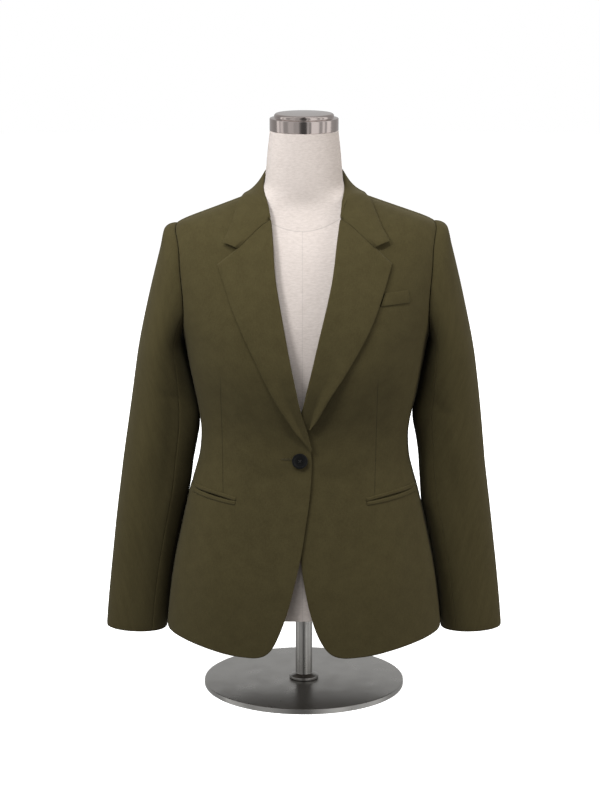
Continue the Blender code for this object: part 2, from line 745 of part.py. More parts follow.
def collar_path(share):
    """Points across the collar at a share from the centre back, neck seam to outer edge."""
    out_x, z = (line(share) for line in columns(COLLAR_EDGE))
    angle = angle_at(out_x, z)
    if share < EDGE_OVER_SHOULDER:
        angle = 180.0 - angle
    end = on_body(angle, z, COLLAR_LIFT)[0]
    if share >= GORGE_START:
        u = (share - GORGE_START) / (1 - GORGE_START) * 0.64
        start_z = gorge_height(u) + 0.0005
        start_x = gorge_out(u) + 0.0004
        start_angle = angle_at(start_x, start_z)
        t = np.linspace(0, 1, 60)
        a = start_angle + (angle - start_angle) * t
        return on_body(a, start_z + (z - start_z) * t, COLLAR_LIFT)[0]
    neck = np.array([line(share) for line in columns(COLLAR_FOLD)[:3]])
    fold = np.array([line(share) for line in columns(COLLAR_FOLD)[3:6]])
    radius = columns(COLLAR_FOLD)[6](share)
    out = np.array([fold[0], fold[1] - 0.002, 0.0])
    out = unit(out)
    up = np.array([0.0, 0.0, 1.0])
    path = [neck + (fold - neck) * t for t in np.linspace(0, 1, 12)[:-1]]
    centre = fold + out * radius
    for turn in np.radians(np.linspace(0, 140, 14)):
        path.append(centre - out * radius * np.cos(turn) + up * radius * np.sin(turn))
    last = path[-1]
    for t in np.linspace(0, 1, 36)[1:]:
        path.append(last + (end - last) * t)
    return np.array(path)


def collar_points(rows, cols):
    """The collar's upper face over the left half, centre back (row 0) to its end."""
    shares = np.linspace(0, 1, rows)
    made = []
    for share in shares:
        path = collar_path(share)
        if share < GORGE_START:
            for _round in range(4):
                away, normal = outward(path, np.where(path[:, 1] < 0, -1.0, 1.0))
                need = np.clip(COLLAR_LIFT - away, 0, 0.02)
                need = need * (path[:, 2] < 0.6835) * (np.arange(len(path)) > 24)
                path = path + normal * need[:, None]
        length = np.concatenate([[0], np.cumsum(np.linalg.norm(np.diff(path, axis=0), axis=1))])
        fold_share = length[18] / length[-1] if share < GORGE_START else 0.0
        fold_share = max(fold_share, 0.12)
        k = np.arange(cols)
        mark = np.interp(k, (0, 4, cols - 1), (0, fold_share, 1))
        if share < GORGE_START and fold_share > 0.12:
            mark[3] = length[12] / length[-1]
            mark[5] = length[23] / length[-1]
            mark[5:] = np.linspace(mark[5], 1, cols - 5)
            mark[:4] = np.linspace(0, mark[3], 4)
        row = np.stack([np.interp(mark * length[-1], length, path[:, a]) for a in range(3)], -1)
        made.append(row)
    return np.array(made)


half = collar_points(17, 12)
mirrored = half[:0:-1] * np.array([-1.0, 1.0, 1.0])
whole = np.concatenate([mirrored, half])
along = np.gradient(whole, axis=0)
across = np.gradient(whole, axis=1)
face = unit(np.cross(along, across))
middle = len(whole) // 2
if face[middle, -2, 1] < 0:
    face = -face
sheet("collar", whole, -face, 0.0014)


# --- sleeves ---------------------------------------------------------------------------------
def sleeve_points(side, turns, marks):
    """A sleeve's outer face at turns round it, marks 0 to 1 over the head, 1 to 2 below."""
    turn, mark = np.meshgrid(turns, marks)
    rad = np.radians(turn)
    ring_z = SLEEVE[-1][0]

    def ring(z):
        tuck = sleeve_tuck(z) * np.exp(-(((turn - TUCK_TURN) / TUCK_SPREAD) ** 2))
        x = sleeve_x(z) + sleeve_width(z) * np.cos(rad) - tuck
        y = sleeve_y(z) - sleeve_depth(z) * np.sin(rad)
        slant = 0.002 * np.cos(rad) * (1 - z / ring_z)
        return np.stack([x, y, z + slant], -1)

    start, start_normal = on_body(armhole_angle(turn), armhole_height(turn))
    way = np.stack([line(turn) for line in columns(HEAD)[:3]], -1)
    way = unit(way)
    first, last = columns(HEAD)[3](turn), columns(HEAD)[4](turn)
    start = start + way * 0.0005
    one = start + way * first[..., None]
    end = ring(np.full_like(turn, ring_z))
    lean = columns(HEAD)[5](turn)
    two = end + np.stack([lean, 0 * lean, 1 + 0 * lean], -1) * last[..., None]
    t = np.clip(mark, 0, 1)[..., None]
    head = (1 - t) ** 3 * start + 3 * (1 - t) ** 2 * t * one + 3 * (1 - t) * t * t * two + t**3 * end
    low = np.clip(mark - 1, 0, 1)
    arm = ring(ring_z + (SLEEVE[0][0] - ring_z) * low)
    points = np.where((mark <= 1)[..., None], head, arm)
    return points * np.array([side, 1.0, 1.0])


SLEEVE_MARKS = np.concatenate([np.linspace(0, 1, 10)[:-1], np.linspace(1, 2, 9)])
SLEEVE_PARTS = (
    ("sleeve_top", HIND_SLEEVE_SEAM - 360 + 0.18, FRONT_SLEEVE_SEAM - 0.18, 19),
    ("sleeve_under", FRONT_SLEEVE_SEAM + 0.18, HIND_SLEEVE_SEAM - 0.18, 10),
)

for side, hand in ((1, "left"), (-1, "right")):
    for piece, begin, finish, count in SLEEVE_PARTS:
        turns = np.linspace(begin, finish, count)
        turns_round = np.mod(turns, 360.0)
        points = sleeve_points(side, turns_round, SLEEVE_MARKS)
        near = sleeve_points(side, np.mod(turns + 0.3, 360.0), SLEEVE_MARKS)
        down = np.gradient(points, axis=0)
        face = unit(np.cross(down, near - points)) * side
        mid = points[:, count // 2]
        axis = np.stack([side * sleeve_x(mid[-3:, 2]), sleeve_y(mid[-3:, 2]), mid[-3:, 2]], -1)
        if np.sum((mid[-3:] - axis) * face[-3:, count // 2]) < 0:
            face = -face
        sheet(piece + "_" + hand, points, -face, SLEEVE_WALL)


# --- pocket welts ----------------------------------------------------------------------------
WELT_WALL = 0.0011
WELT_LIFT = 0.0006 + WELT_WALL


def welt(name, side, angle_low, angle_high, z_low, z_high):
    """A narrow strip lying on a front between two rows of (angle, height)."""
    share = np.linspace(0, 1, 4)[:, None]
    angle = angle_low + (angle_high - angle_low) * share
    z = z_low + (z_high - z_low) * share
    points, normals = on_front(side, angle, z, np.full(z.shape, WELT_LIFT))
    sheet(name, points, -normals, WELT_WALL)


hip_top, hip_slit, hip_foot = columns(HIP_POCKET)
hip_out = np.linspace(HIP_POCKET[0][0], HIP_POCKET[-1][0], 14)
for side, hand in ((1, "left"), (-1, "right")):
    slit = hip_slit(hip_out)
    around = angle_at(side * hip_out + centre_front(slit) * (0.163 - hip_out) / 0.068, slit)
    welt("hip_welt_upper_" + hand, side, around, around, slit + 0.0002, hip_top(hip_out))
    welt("hip_welt_lower_" + hand, side, around, around, hip_foot(hip_out), slit - 0.0002)

rows = np.array(BREAST_WELT)
share = np.linspace(0, 1, 7)
low_out, high_out, low_z, high_z = (through((0.0, 0.5, 1.0), rows[:, k])(share) for k in range(4))
low_angle = angle_at(centre_front(low_z) + low_out, low_z)
high_angle = angle_at(centre_front(high_z) + high_out, high_z)
welt("breast_welt", 1, low_angle, high_angle, low_z, high_z)


# --- button ----------------------------------------------------------------------------------
button_x = float(centre_front(BUTTON_Z)) - 0.0012
seat, seat_normal = on_front(-1, angle_at(np.array([button_x]), BUTTON_Z), np.array([BUTTON_Z]))
facing = Vector(seat_normal[0])
button = turned(
    "button",
    (
        (0.0, BUTTON_THICK * 0.62),
        (BUTTON_RADIUS * 0.66, BUTTON_THICK * 0.62),
        (BUTTON_RADIUS * 0.74, BUTTON_THICK * 0.95),
        (BUTTON_RADIUS * 0.84, BUTTON_THICK),
        (BUTTON_RADIUS * 0.94, BUTTON_THICK * 0.93),
        (BUTTON_RADIUS, BUTTON_THICK * 0.62),
        (BUTTON_RADIUS * 0.97, BUTTON_THICK * 0.30),
        (BUTTON_RADIUS * 0.80, 0.0),
        (0.0, 0.0),
    ),
    BLACK,
    0.0,
    0.4,
    steps=24,
)
button.location = Vector(seat[0]) + facing * 0.0006 + Vector((0, 0, HEM_Z))
button.rotation_mode = "QUATERNION"
button.rotation_quaternion = facing.to_track_quat("Z", "Y")

holes = bmesh.new()
for across_hole in (-1, 1):
    for up_hole in (-1, 1):
        made = bmesh.ops.create_cone(
            holes, segments=12, radius1=0.0011, radius2=0.0011, depth=0.02, cap_ends=True
        )
        bmesh.ops.translate(
            holes, verts=made["verts"], vec=(across_hole * 0.0019, up_hole * 0.0019, 0.0)
        )
holes_mesh = bpy.data.meshes.new("button_holes")
holes.to_mesh(holes_mesh)
holes.free()
cutters = bpy.data.collections.new("cutters")
bpy.context.scene.collection.children.link(cutters)
cutter = bpy.data.objects.new("button_holes", holes_mesh)
cutters.objects.link(cutter)
cutter.location = button.location
cutter.rotation_mode = "QUATERNION"
cutter.rotation_quaternion = button.rotation_quaternion
cutter.hide_render = True
cutter.display_type = "WIRE"
cut = button.modifiers.new("Holes", "BOOLEAN")
cut.operation = "DIFFERENCE"
cut.solver = "EXACT"
cut.object = cutter


# --- dress form, cap and stand -----------------------------------------------------------------
def form_ring(z, count):
    turn = np.linspace(0, 2 * math.pi, count, endpoint=False)
    s, c = np.sin(turn), np.cos(turn)
    power = 2 / form_boxiness(z)
    deep = np.where(c > 0, form_front(z), form_back(z))
    x = form_width(z) * np.sign(s) * np.abs(s) ** power
    y = -deep * np.sign(c) * np.abs(c) ** power
    return tilted(np.stack([x, y, np.full(count, z)], -1))


form_heights = np.concatenate([
    np.linspace(0.0645, 0.600, 16),
    np.linspace(0.612, 0.690, 11),
    np.linspace(0.705, 0.7723, 4),
])
bm = bmesh.new()
rings = []
for z in form_heights:
    rings.append([bm.verts.new(Vector(point)) for point in form_ring(z, 36)])
for low, high in zip(rings, rings[1:]):
    for k in range(36):
        after = (k + 1) % 36
        bm.faces.new((low[k], low[after], high[after], high[k]))
bm.faces.new(rings[0])
bm.faces.new(rings[-1])
bmesh.ops.recalc_face_normals(bm, faces=bm.faces[:])
bmesh.ops.translate(bm, verts=bm.verts[:], vec=(0, 0, HEM_Z))
form_mesh = bpy.data.meshes.new("form_body")
bm.to_mesh(form_mesh)
bm.free()
add_object("form_body", form_mesh, LINEN, 0.0, 0.8)

CAP_FOOT = 0.7726 + HEM_Z
turned(
    "neck_cap",
    (
        (0.0, CAP_FOOT + 0.0250),
        (0.0400, CAP_FOOT + 0.0250),
        (0.0432, CAP_FOOT + 0.0225),
        (0.0436, CAP_FOOT + 0.0195),
        (0.0485, CAP_FOOT + 0.0185),
        (0.0500, CAP_FOOT + 0.0165),
        (0.0500, CAP_FOOT),
        (0.0, CAP_FOOT),
    ),
    STEEL,
    1.0,
    0.3,
    steps=40,
)

FORM_FOOT = HEM_Z + form_heights[0]
turned(
    "stand_post",
    (
        (0.0, FORM_FOOT - SEAM_GAP),
        (0.0300, FORM_FOOT - SEAM_GAP),
        (0.0300, FORM_FOOT - 0.0045),
        (POST_RADIUS, FORM_FOOT - 0.0080),
        (POST_RADIUS, BASE_THICK + 0.0080),
        (0.0220, BASE_THICK + 0.0050),
        (0.0220, BASE_THICK + SEAM_GAP),
        (0.0, BASE_THICK + SEAM_GAP),
    ),
    STEEL,
    1.0,
    0.35,
    steps=24,
)
turned(
    "stand_base",
    (
        (0.0, BASE_THICK),
        (BASE_RADIUS - 0.0020, BASE_THICK),
        (BASE_RADIUS, BASE_THICK - 0.0020),
        (BASE_RADIUS, 0.0),
        (0.0, 0.0),
    ),
    STEEL,
    1.0,
    0.35,
    steps=64,
)
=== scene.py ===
"""Looks for the one-button suit jacket on its dress form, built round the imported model."""

import math

import bmesh
import bpy
import numpy as np
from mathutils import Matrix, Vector


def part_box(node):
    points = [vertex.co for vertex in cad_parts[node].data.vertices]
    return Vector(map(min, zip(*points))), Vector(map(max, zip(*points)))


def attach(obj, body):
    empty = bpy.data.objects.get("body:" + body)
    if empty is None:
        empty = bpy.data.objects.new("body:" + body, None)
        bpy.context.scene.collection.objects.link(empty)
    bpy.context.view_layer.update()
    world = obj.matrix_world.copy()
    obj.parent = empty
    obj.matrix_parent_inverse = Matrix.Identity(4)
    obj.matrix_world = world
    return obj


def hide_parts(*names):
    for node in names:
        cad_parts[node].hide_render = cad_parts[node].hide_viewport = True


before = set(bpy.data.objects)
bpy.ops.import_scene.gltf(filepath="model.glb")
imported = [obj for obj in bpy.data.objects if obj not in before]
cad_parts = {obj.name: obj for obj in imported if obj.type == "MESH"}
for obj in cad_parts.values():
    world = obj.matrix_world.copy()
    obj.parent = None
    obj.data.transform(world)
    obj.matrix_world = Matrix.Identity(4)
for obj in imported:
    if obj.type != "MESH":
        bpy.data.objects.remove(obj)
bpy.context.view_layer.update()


# --- camera, floor and studio light ---------------------------------------------------------
# The photograph was taken straight from the front with a long lens, a little above level, in
# front of plain white. Soft lights hang overhead, high on the left, at both sides and behind,
# so that the shoulders and the outer sides of the sleeves are light.
scene = bpy.context.scene
scene.view_settings.view_transform = "Standard"
scene.view_settings.look = "None"


def new_object(name, data):
    """An object in the scene for a mesh, light, curve or camera."""
    made = bpy.data.objects.new(name, data)
    scene.collection.objects.link(made)
    return made


CAMERA_PLACE = (-0.00592, -3.9052, 1.3036)
LENS = 121.62
LOOKS_DOWN = 12.5
camera_data = bpy.data.cameras.new("camera")
camera_data.lens = LENS
camera_data.sensor_fit = "VERTICAL"
camera_data.sensor_height = 36.0
camera_data.dof.use_dof = False
camera = new_object("camera", camera_data)
camera.location = CAMERA_PLACE
camera.rotation_euler = (math.radians(90.0 - LOOKS_DOWN), 0.0, 0.0)
scene.camera = camera


def linear(code, share=1.0):
    """The linear colour of an sRGB hex code, or a share of it, and an alpha of 1."""
    parts = [int(code[k : k + 2], 16) / 255 for k in (1, 3, 5)]
    parts = [c / 12.92 if c <= 0.04045 else ((c + 0.055) / 1.055) ** 2.4 for c in parts]
    return (*(c * share for c in parts), 1.0)


def join(node, links):
    """Links into a node's sockets, from other sockets or from nodes' first outputs."""
    for name, source in dict(links).items():
        first = source.outputs[0] if isinstance(source, bpy.types.Node) else source
        node.id_data.links.new(first, node.inputs[name])


def add_node(tree, kind, links=(), sockets=(), **settings):
    """A node with its settings, its unlinked sockets' values, and links into it."""
    made = tree.nodes.new(kind)
    for name, value in settings.items():
        setattr(made, name, value)
    for name, value in dict(sockets).items():
        made.inputs[name].default_value = value
    join(made, links)
    return made


def new_material(name, sockets):
    """A material, its tree and its Principled shader, with some of that one's values."""
    made = bpy.data.materials.new(name)
    made.use_nodes = True
    shader = made.node_tree.nodes["Principled BSDF"]
    for socket, value in sockets.items():
        shader.inputs[socket].default_value = value
    return made, made.node_tree, shader


FLOOR_REACH = 7.0
floor_rim = [
    (FLOOR_REACH * math.cos(turn), FLOOR_REACH * math.sin(turn), 0.0)
    for turn in np.radians(np.arange(0, 360, 7.5))
]
floor_mesh = bpy.data.meshes.new("white_floor")
floor_mesh.from_pydata(floor_rim, [], [range(len(floor_rim))])
white_floor = new_object("white_floor", floor_mesh)
# White background paper, matt and evenly lit. Its own light keeps it white up to the horizon.
floor_paper, tree, shader = new_material("white_background_paper", {
    "Base Color": linear("#F4F3F1"), "Roughness": 0.9,
    "Emission Color": linear("#FFFFFF"), "Emission Strength": 0.79,
})
floor_mesh.materials.append(floor_paper)
white_floor.visible_diffuse = False
white_floor.visible_glossy = False

# Mirrored rays see the studio itself, as the steel does: light and dark upright bands round
# the room. Turn from straight ahead of the object, as a share of the circle, and brightness.
ROOM_BANDS = (
    (0.000, 0.50), (0.190, 0.30), (0.207, 0.32), (0.222, 1.00), (0.236, 1.00), (0.247, 0.55),
    (0.262, 0.56), (0.272, 0.84), (0.288, 0.78), (0.300, 0.38), (0.340, 0.38), (0.352, 0.56),
    (0.395, 0.54), (0.410, 0.42), (0.448, 0.44), (0.462, 0.18), (0.476, 0.08), (0.522, 0.08),
    (0.531, 0.52), (0.544, 0.50), (0.552, 0.28), (0.562, 0.32), (0.572, 0.92), (0.635, 0.90),
    (0.650, 0.42), (0.672, 0.42), (0.685, 0.84), (0.700, 0.82), (0.712, 0.42), (0.724, 0.44),
    (0.735, 0.97), (0.772, 0.92), (0.790, 0.40), (0.860, 0.34), (1.000, 0.50),
)
STUDIO_DIM = 0.26
world = bpy.data.worlds.new("studio")
scene.world = world
world.use_nodes = True
sky = world.node_tree
look = add_node(sky, "ShaderNodeTexCoord")
apart = add_node(sky, "ShaderNodeSeparateXYZ", {0: look.outputs["Generated"]})
flip = add_node(sky, "ShaderNodeMath", {0: apart.outputs["Y"]}, {1: -1.0}, operation="MULTIPLY")
turn = add_node(sky, "ShaderNodeMath", {0: apart.outputs["X"], 1: flip}, operation="ARCTAN2")
turn_share = add_node(
    sky, "ShaderNodeMapRange", {"Value": turn}, {"From Min": -math.pi, "From Max": math.pi}
)
room = add_node(sky, "ShaderNodeFloatCurve", {"Value": turn_share})
bands = room.mapping.curves[0].points
bands[0].location = ROOM_BANDS[0]
bands[1].location = ROOM_BANDS[-1]
for band in ROOM_BANDS[1:-1]:
    bands.new(*band)
for point in bands:
    point.handle_type = "VECTOR"
room.mapping.update()
ray = add_node(sky, "ShaderNodeLightPath")
seen = add_node(
    sky, "ShaderNodeMix", {"Factor": ray.outputs["Is Glossy Ray"], "B": room}, {"A": STUDIO_DIM}
)
# The camera itself sees plain white behind the object.
shown = add_node(
    sky, "ShaderNodeMix", {"Factor": ray.outputs["Is Camera Ray"], "A": seen}, {"B": 1.0}
)
sky.nodes["Background"].inputs["Color"].default_value = linear("#FFFFFF")
join(sky.nodes["Background"], {"Strength": shown})

# Each softbox: its place, the height on the object it is turned to, width, height, colour and
# watts.
SOFTBOXES = {
    "overhead_softbox": ((-0.25, -1.1, 2.6), 0.45, 0.7, 0.45, "#F6FAFF", 34.5),
    "high_left_softbox": ((-0.95, -0.95, 1.60), 0.70, 0.5, 0.5, "#F6FAFF", 25.0),
    "left_softbox": ((-2.2, -0.7, 1.0), 0.40, 0.8, 1.8, "#FFFFFF", 9.0),
    "right_softbox": ((2.2, -0.7, 1.0), 0.40, 0.8, 1.8, "#FFFFFF", 36.0),
    "rear_softbox": ((0.5, 2.4, 1.8), 0.45, 1.0, 1.0, "#FFFFFF", 55.0),
}
for name, (place, aim, wide, high, colour, watts) in SOFTBOXES.items():
    softbox = bpy.data.lights.new(name, "AREA")
    softbox.shape = "RECTANGLE"
    softbox.size = wide
    softbox.size_y = high
    softbox.energy = watts
    softbox.color = linear(colour)[:3]
    hung = new_object(name, softbox)
    hung.location = place
    way = Vector((0.0, 0.0, aim)) - Vector(place)
    hung.rotation_euler = way.to_track_quat("-Z", "Y").to_euler()
    hung.visible_glossy = False


# --- stand -----------------------------------------------------------------------------------
# A round plate of 8 mm brushed stainless steel with a turned tube post, screwed to it from
# below. Turned and brushed steel gives fine rings round the post and long soft highlights.
def brushed_steel(name, colour, roughness, rings):
    """Stainless steel, brushed round the Z axis in lines of about a third of a millimetre."""
    steel, tree, shader = new_material(name, {"Metallic": 1.0})
    place = add_node(tree, "ShaderNodeTexCoord").outputs["Object"]
    parts = add_node(tree, "ShaderNodeSeparateXYZ", {"Vector": place}).outputs
    flat = add_node(tree, "ShaderNodeCombineXYZ", {"X": parts["X"], "Y": parts["Y"]})
    reach = add_node(tree, "ShaderNodeVectorMath", {0: flat}, operation="LENGTH")
    lines = add_node(
        tree, "ShaderNodeCombineXYZ", {"X": reach.outputs["Value"], "Z": parts["Z"]}
    )
    fine = add_node(
        tree, "ShaderNodeTexNoise", {"Vector": lines},
        {"Scale": rings, "Detail": 4.0, "Roughness": 0.7},
    )
    cloud = add_node(
        tree, "ShaderNodeTexNoise", {"Vector": place}, {"Scale": 35.0, "Detail": 3.0}
    )
    ramp = add_node(tree, "ShaderNodeValToRGB", {"Fac": fine})
    ramp.color_ramp.elements[0].color = linear(colour, 0.84)
    ramp.color_ramp.elements[1].color = linear(colour)
    rough = add_node(
        tree, "ShaderNodeMapRange", {"Value": cloud},
        {"From Min": 0.3, "From Max": 0.7, "To Min": roughness - 0.04, "To Max": roughness + 0.06},
    )
    bump = add_node(
        tree, "ShaderNodeBump", {"Height": fine}, {"Strength": 0.12, "Distance": 0.00005}
    )
    join(shader, {"Base Color": ramp, "Roughness": rough, "Normal": bump})
    return steel


def lathed(name, profile, steps):
    """An object that turns a profile of (radius, height) points round Z."""
    mesh = bpy.data.meshes.new(name)
    points = [(radius, 0.0, height) for radius, height in profile]
    mesh.from_pydata(points, [(k, k + 1) for k in range(len(points) - 1)], [])
    made = new_object(name, mesh)
    screw = made.modifiers.new("Turn", "SCREW")
    screw.axis = "Z"
    screw.steps = steps
    screw.render_steps = steps
    screw.use_merge_vertices = True
    screw.merge_threshold = 0.00005
    return made


def worked_out(made):
    """The plain mesh that an object's modifiers give it."""
    bpy.context.view_layer.update()
    return bpy.data.meshes.new_from_object(
        made.evaluated_get(bpy.context.evaluated_depsgraph_get())
    )


def turned(name, node, profile, steel, steps):
    """A steel piece turned round Z from (radius, height) points down its outer side."""
    made = lathed(name, profile, steps)
    plain = worked_out(made)
    made.modifiers.clear()
    made.data = plain
    plain.name = name
    plain.shade_smooth()
    plain.set_sharp_from_angle(angle=math.radians(32))
    plain.materials.clear()
    plain.materials.append(steel)
    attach(made, "root")
    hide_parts(node)
    return made


def rounded(corners, radius, count=5):
    """A profile with each inner corner turned by a small arc of about the radius."""
    made = [corners[0]]
    for before, corner, after in zip(corners, corners[1:], corners[2:]):
        b, c, a = (np.array(p, float) for p in (before, corner, after))
        size = min(radius, 0.45 * np.linalg.norm(b - c), 0.45 * np.linalg.norm(a - c))
        start = c + (b - c) / np.linalg.norm(b - c) * size
        end = c + (a - c) / np.linalg.norm(a - c) * size
        for t in np.linspace(0, 1, count):
            made.append(tuple((1 - t) ** 2 * start + 2 * t * (1 - t) * c + t * t * end))
    made.append(corners[-1])
    return made


plate_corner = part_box("stand_base")[1]
post_low, post_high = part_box("stand_post")
PLATE_RADIUS, PLATE_TOP = plate_corner.x, plate_corner.z
POST_RADIUS = 0.0125
POST_FOOT_RADIUS = 0.0220
POST_HEAD_RADIUS = 0.0300
stand_steel = brushed_steel("brushed_stainless_plate", "#B9B7B3", 0.30, 2600.0)
turned(
    "base_plate", "stand_base",
    rounded([
        (0.0, PLATE_TOP), (PLATE_RADIUS, PLATE_TOP), (PLATE_RADIUS, 0.0), (0.0, 0.0),
    ], 0.0016),
    stand_steel, 192,
)
turned(
    "post", "stand_post",
    rounded([
        (0.0, post_high.z), (POST_HEAD_RADIUS, post_high.z),
        (POST_HEAD_RADIUS, post_high.z - 0.0040), (POST_RADIUS, post_high.z - 0.0078),
        (POST_RADIUS, post_low.z + 0.0078), (POST_FOOT_RADIUS, post_low.z + 0.0048),
        (POST_FOOT_RADIUS, post_low.z), (0.0, post_low.z),
    ], 0.0010),
    stand_steel, 96,
)


# --- dress form ------------------------------------------------------------------------------
# A padded torso with no limbs, covered in pale natural linen. Its panels are sewn in a centre
# front seam and a neck seam, which sit in the cover as shallow dents; painted shade darkens
# the linen's colour along them.

# Heights in the tables of the form and the jacket count from here, 65 mm above the floor.
HEM_Z = 0.065
# Sections of the dress form: height, half width, front, back, boxiness.
FORM = (
    (0.0645, 0.1880, 0.1100, 0.1100, 2.4),
    (0.1450, 0.1800, 0.1070, 0.1080, 2.4),
    (0.1900, 0.1700, 0.1020, 0.1010, 2.4),
    (0.2320, 0.1600, 0.0970, 0.0920, 2.4),
    (0.2620, 0.1510, 0.0940, 0.0850, 2.4),
    (0.2970, 0.1435, 0.0920, 0.0790, 2.4),
    (0.3260, 0.1420, 0.0930, 0.0770, 2.4),
    (0.3540, 0.1450, 0.0970, 0.0770, 2.4),
    (0.3800, 0.1500, 0.1030, 0.0790, 2.4),
    (0.4130, 0.1560, 0.1100, 0.0820, 2.4),
    (0.4470, 0.1620, 0.1130, 0.0860, 2.4),
    (0.4900, 0.1680, 0.1100, 0.0910, 2.4),
    (0.5250, 0.1720, 0.1030, 0.0920, 2.4),
    (0.5600, 0.1740, 0.0930, 0.0900, 2.4),
    (0.5900, 0.1740, 0.0820, 0.0850, 2.4),
    (0.6120, 0.1720, 0.0710, 0.0800, 2.4),
    (0.6300, 0.1670, 0.0590, 0.0755, 2.35),
    (0.6446, 0.1560, 0.0505, 0.0695, 2.3),
    (0.6543, 0.1400, 0.0455, 0.0655, 2.2),
    (0.6624, 0.1170, 0.0415, 0.0612, 2.1),
    (0.6694, 0.0955, 0.0395, 0.0575, 2.1),
    (0.6746, 0.0790, 0.0395, 0.0550, 2.05),
    (0.6796, 0.0670, 0.0410, 0.0535, 2.0),
    (0.6870, 0.0578, 0.0418, 0.0518, 2.0),
    (0.7100, 0.0558, 0.0425, 0.0500, 2.0),
    (0.7450, 0.0530, 0.0425, 0.0480, 2.0),
    (0.7723, 0.0498, 0.0425, 0.0460, 2.0),
)
# The wearer's left shoulder stands a little higher: rise per metre out, the heights it
# comes in over, and those it fades over above the collar.
TILT = 0.0080
TILT_IN = (0.500, 0.620)
TILT_OUT = (0.730, 0.768)
HEM_UP = np.array([0.0, 0.0, HEM_Z])


def through(knots, values):
    """A smooth line through the values that never overshoots, its bends evened out a little."""
    at = np.asarray(knots, float)
    value = np.asarray(values, float)
    step = np.diff(at)
    slope = np.diff(value) / step
    tangent = np.zeros_like(value)
    tangent[0], tangent[-1] = slope[0], slope[-1]
    before, after = slope[:-1], slope[1:]
    same = before * after > 0
    first = 2 * step[1:] + step[:-1]
    second = step[1:] + 2 * step[:-1]
    low = np.where(same, before, 1.0)
    high = np.where(same, after, 1.0)
    mean = (first + second) / (first / low + second / high)
    tangent[1:-1] = np.where(same, mean, 0.0)
    places = np.linspace(at[0], at[-1], 1601)
    k = np.clip(np.searchsorted(at, places, side="right") - 1, 0, len(step) - 1)
    s = (places - at[k]) / step[k]
    line = (1 + 2 * s) * (1 - s) ** 2 * value[k] + s * s * (3 - 2 * s) * value[k + 1]
    line = line + step[k] * (s * (1 - s) ** 2 * tangent[k] + s * s * (s - 1) * tangent[k + 1])
    spread = 0.22 * 1600 / len(step)
    reach = np.arange(-int(3 * spread), int(3 * spread) + 1)
    weights = np.exp(-0.5 * (reach / spread) ** 2)
    line = np.pad(line, int(3 * spread), mode="reflect", reflect_type="odd")
    line = np.convolve(line, weights / weights.sum(), "valid")
    return lambda t: np.interp(t, places, line)


def columns(table):
    """One smooth line for each column after the first."""
    rows = np.array(table, float)
    return [through(rows[:, 0], rows[:, k]) for k in range(1, rows.shape[1])]


def smooth(low, high, value):
    """0 below low, 1 above high, and an even swing between them."""
    t = np.clip((value - low) / (high - low), 0.0, 1.0)
    return t * t * (3 - 2 * t)


def tilted(points):
    """The same points with the wearer's left shoulder raised and the right one lowered."""
    x, y, z = points[..., 0], points[..., 1], points[..., 2]
    amount = smooth(*TILT_IN, z) * (1 - smooth(*TILT_OUT, z))
    return np.stack([x, y, z + x * TILT * amount], -1)


form_width, form_front, form_back, form_boxiness = columns(FORM)


def form_ring(z, turns):
    """One level ring of the form at turns from the centre back."""
    s, c = np.sin(turns), np.cos(turns)
    power = 2 / form_boxiness(z)
    deep = np.where(c > 0, form_front(z), form_back(z))
    x = form_width(z) * np.sign(s) * np.abs(s) ** power
    y = -deep * np.sign(c) * np.abs(c) ** power
    return x, y


def even(values, spread):
    """The rows of values evened out along their first axis."""
    far = round(4 * spread)
    weights = np.exp(-0.5 * (np.arange(-far, far + 1) / spread) ** 2)
    weights = weights / weights.sum()
    padded = np.pad(values, ((far, far), (0, 0)), mode="edge")
    return np.stack([np.convolve(row, weights, mode="valid") for row in padded.T], 1)


def grid_faces(rows, cols, closed=False):
    """Faces between the points of a grid, closed into a tube or open."""
    return [
        (k * cols + j, k * cols + after, (k + 1) * cols + after, (k + 1) * cols + j)
        for k in range(rows - 1)
        for j, after in zip(range(cols), [*range(1, cols), *([0] if closed else [])])
    ]


def store(mesh, name, values):
    """A value at each of a mesh's points, which its material reads by name."""
    line = mesh.attributes.new(name, "FLOAT", "POINT")
    line.data.foreach_set("value", values.reshape(-1).astype(np.float32))


FORM_LEVELS = np.linspace(FORM[0][0], FORM[-1][0], 240)
FORM_TURNS = np.linspace(0, 2 * math.pi, 176, endpoint=False)
rings = np.array([form_ring(z, FORM_TURNS) for z in FORM_LEVELS])
ring_x, ring_y = even(rings[:, 0], 2), even(rings[:, 1], 2)
ring_z = np.repeat(FORM_LEVELS[:, None], len(FORM_TURNS), 1)
CENTRE_SEAM_X = -0.0024
NECK_SEAM_DEPTH = 0.0005
neck_seam = ring_z - np.minimum(0.6335 + 5.6 * (ring_x - CENTRE_SEAM_X) ** 2, 0.684)
centre_seam = ring_x - CENTRE_SEAM_X
reach = np.sqrt(ring_x**2 + ring_y**2)
dent = NECK_SEAM_DEPTH * np.exp(-((neck_seam / 0.0030) ** 2)) / reach
ring_x, ring_y = ring_x * (1 - dent), ring_y * (1 - dent)
form_points = tilted(np.stack([ring_x, ring_y, ring_z], -1)) + HEM_UP

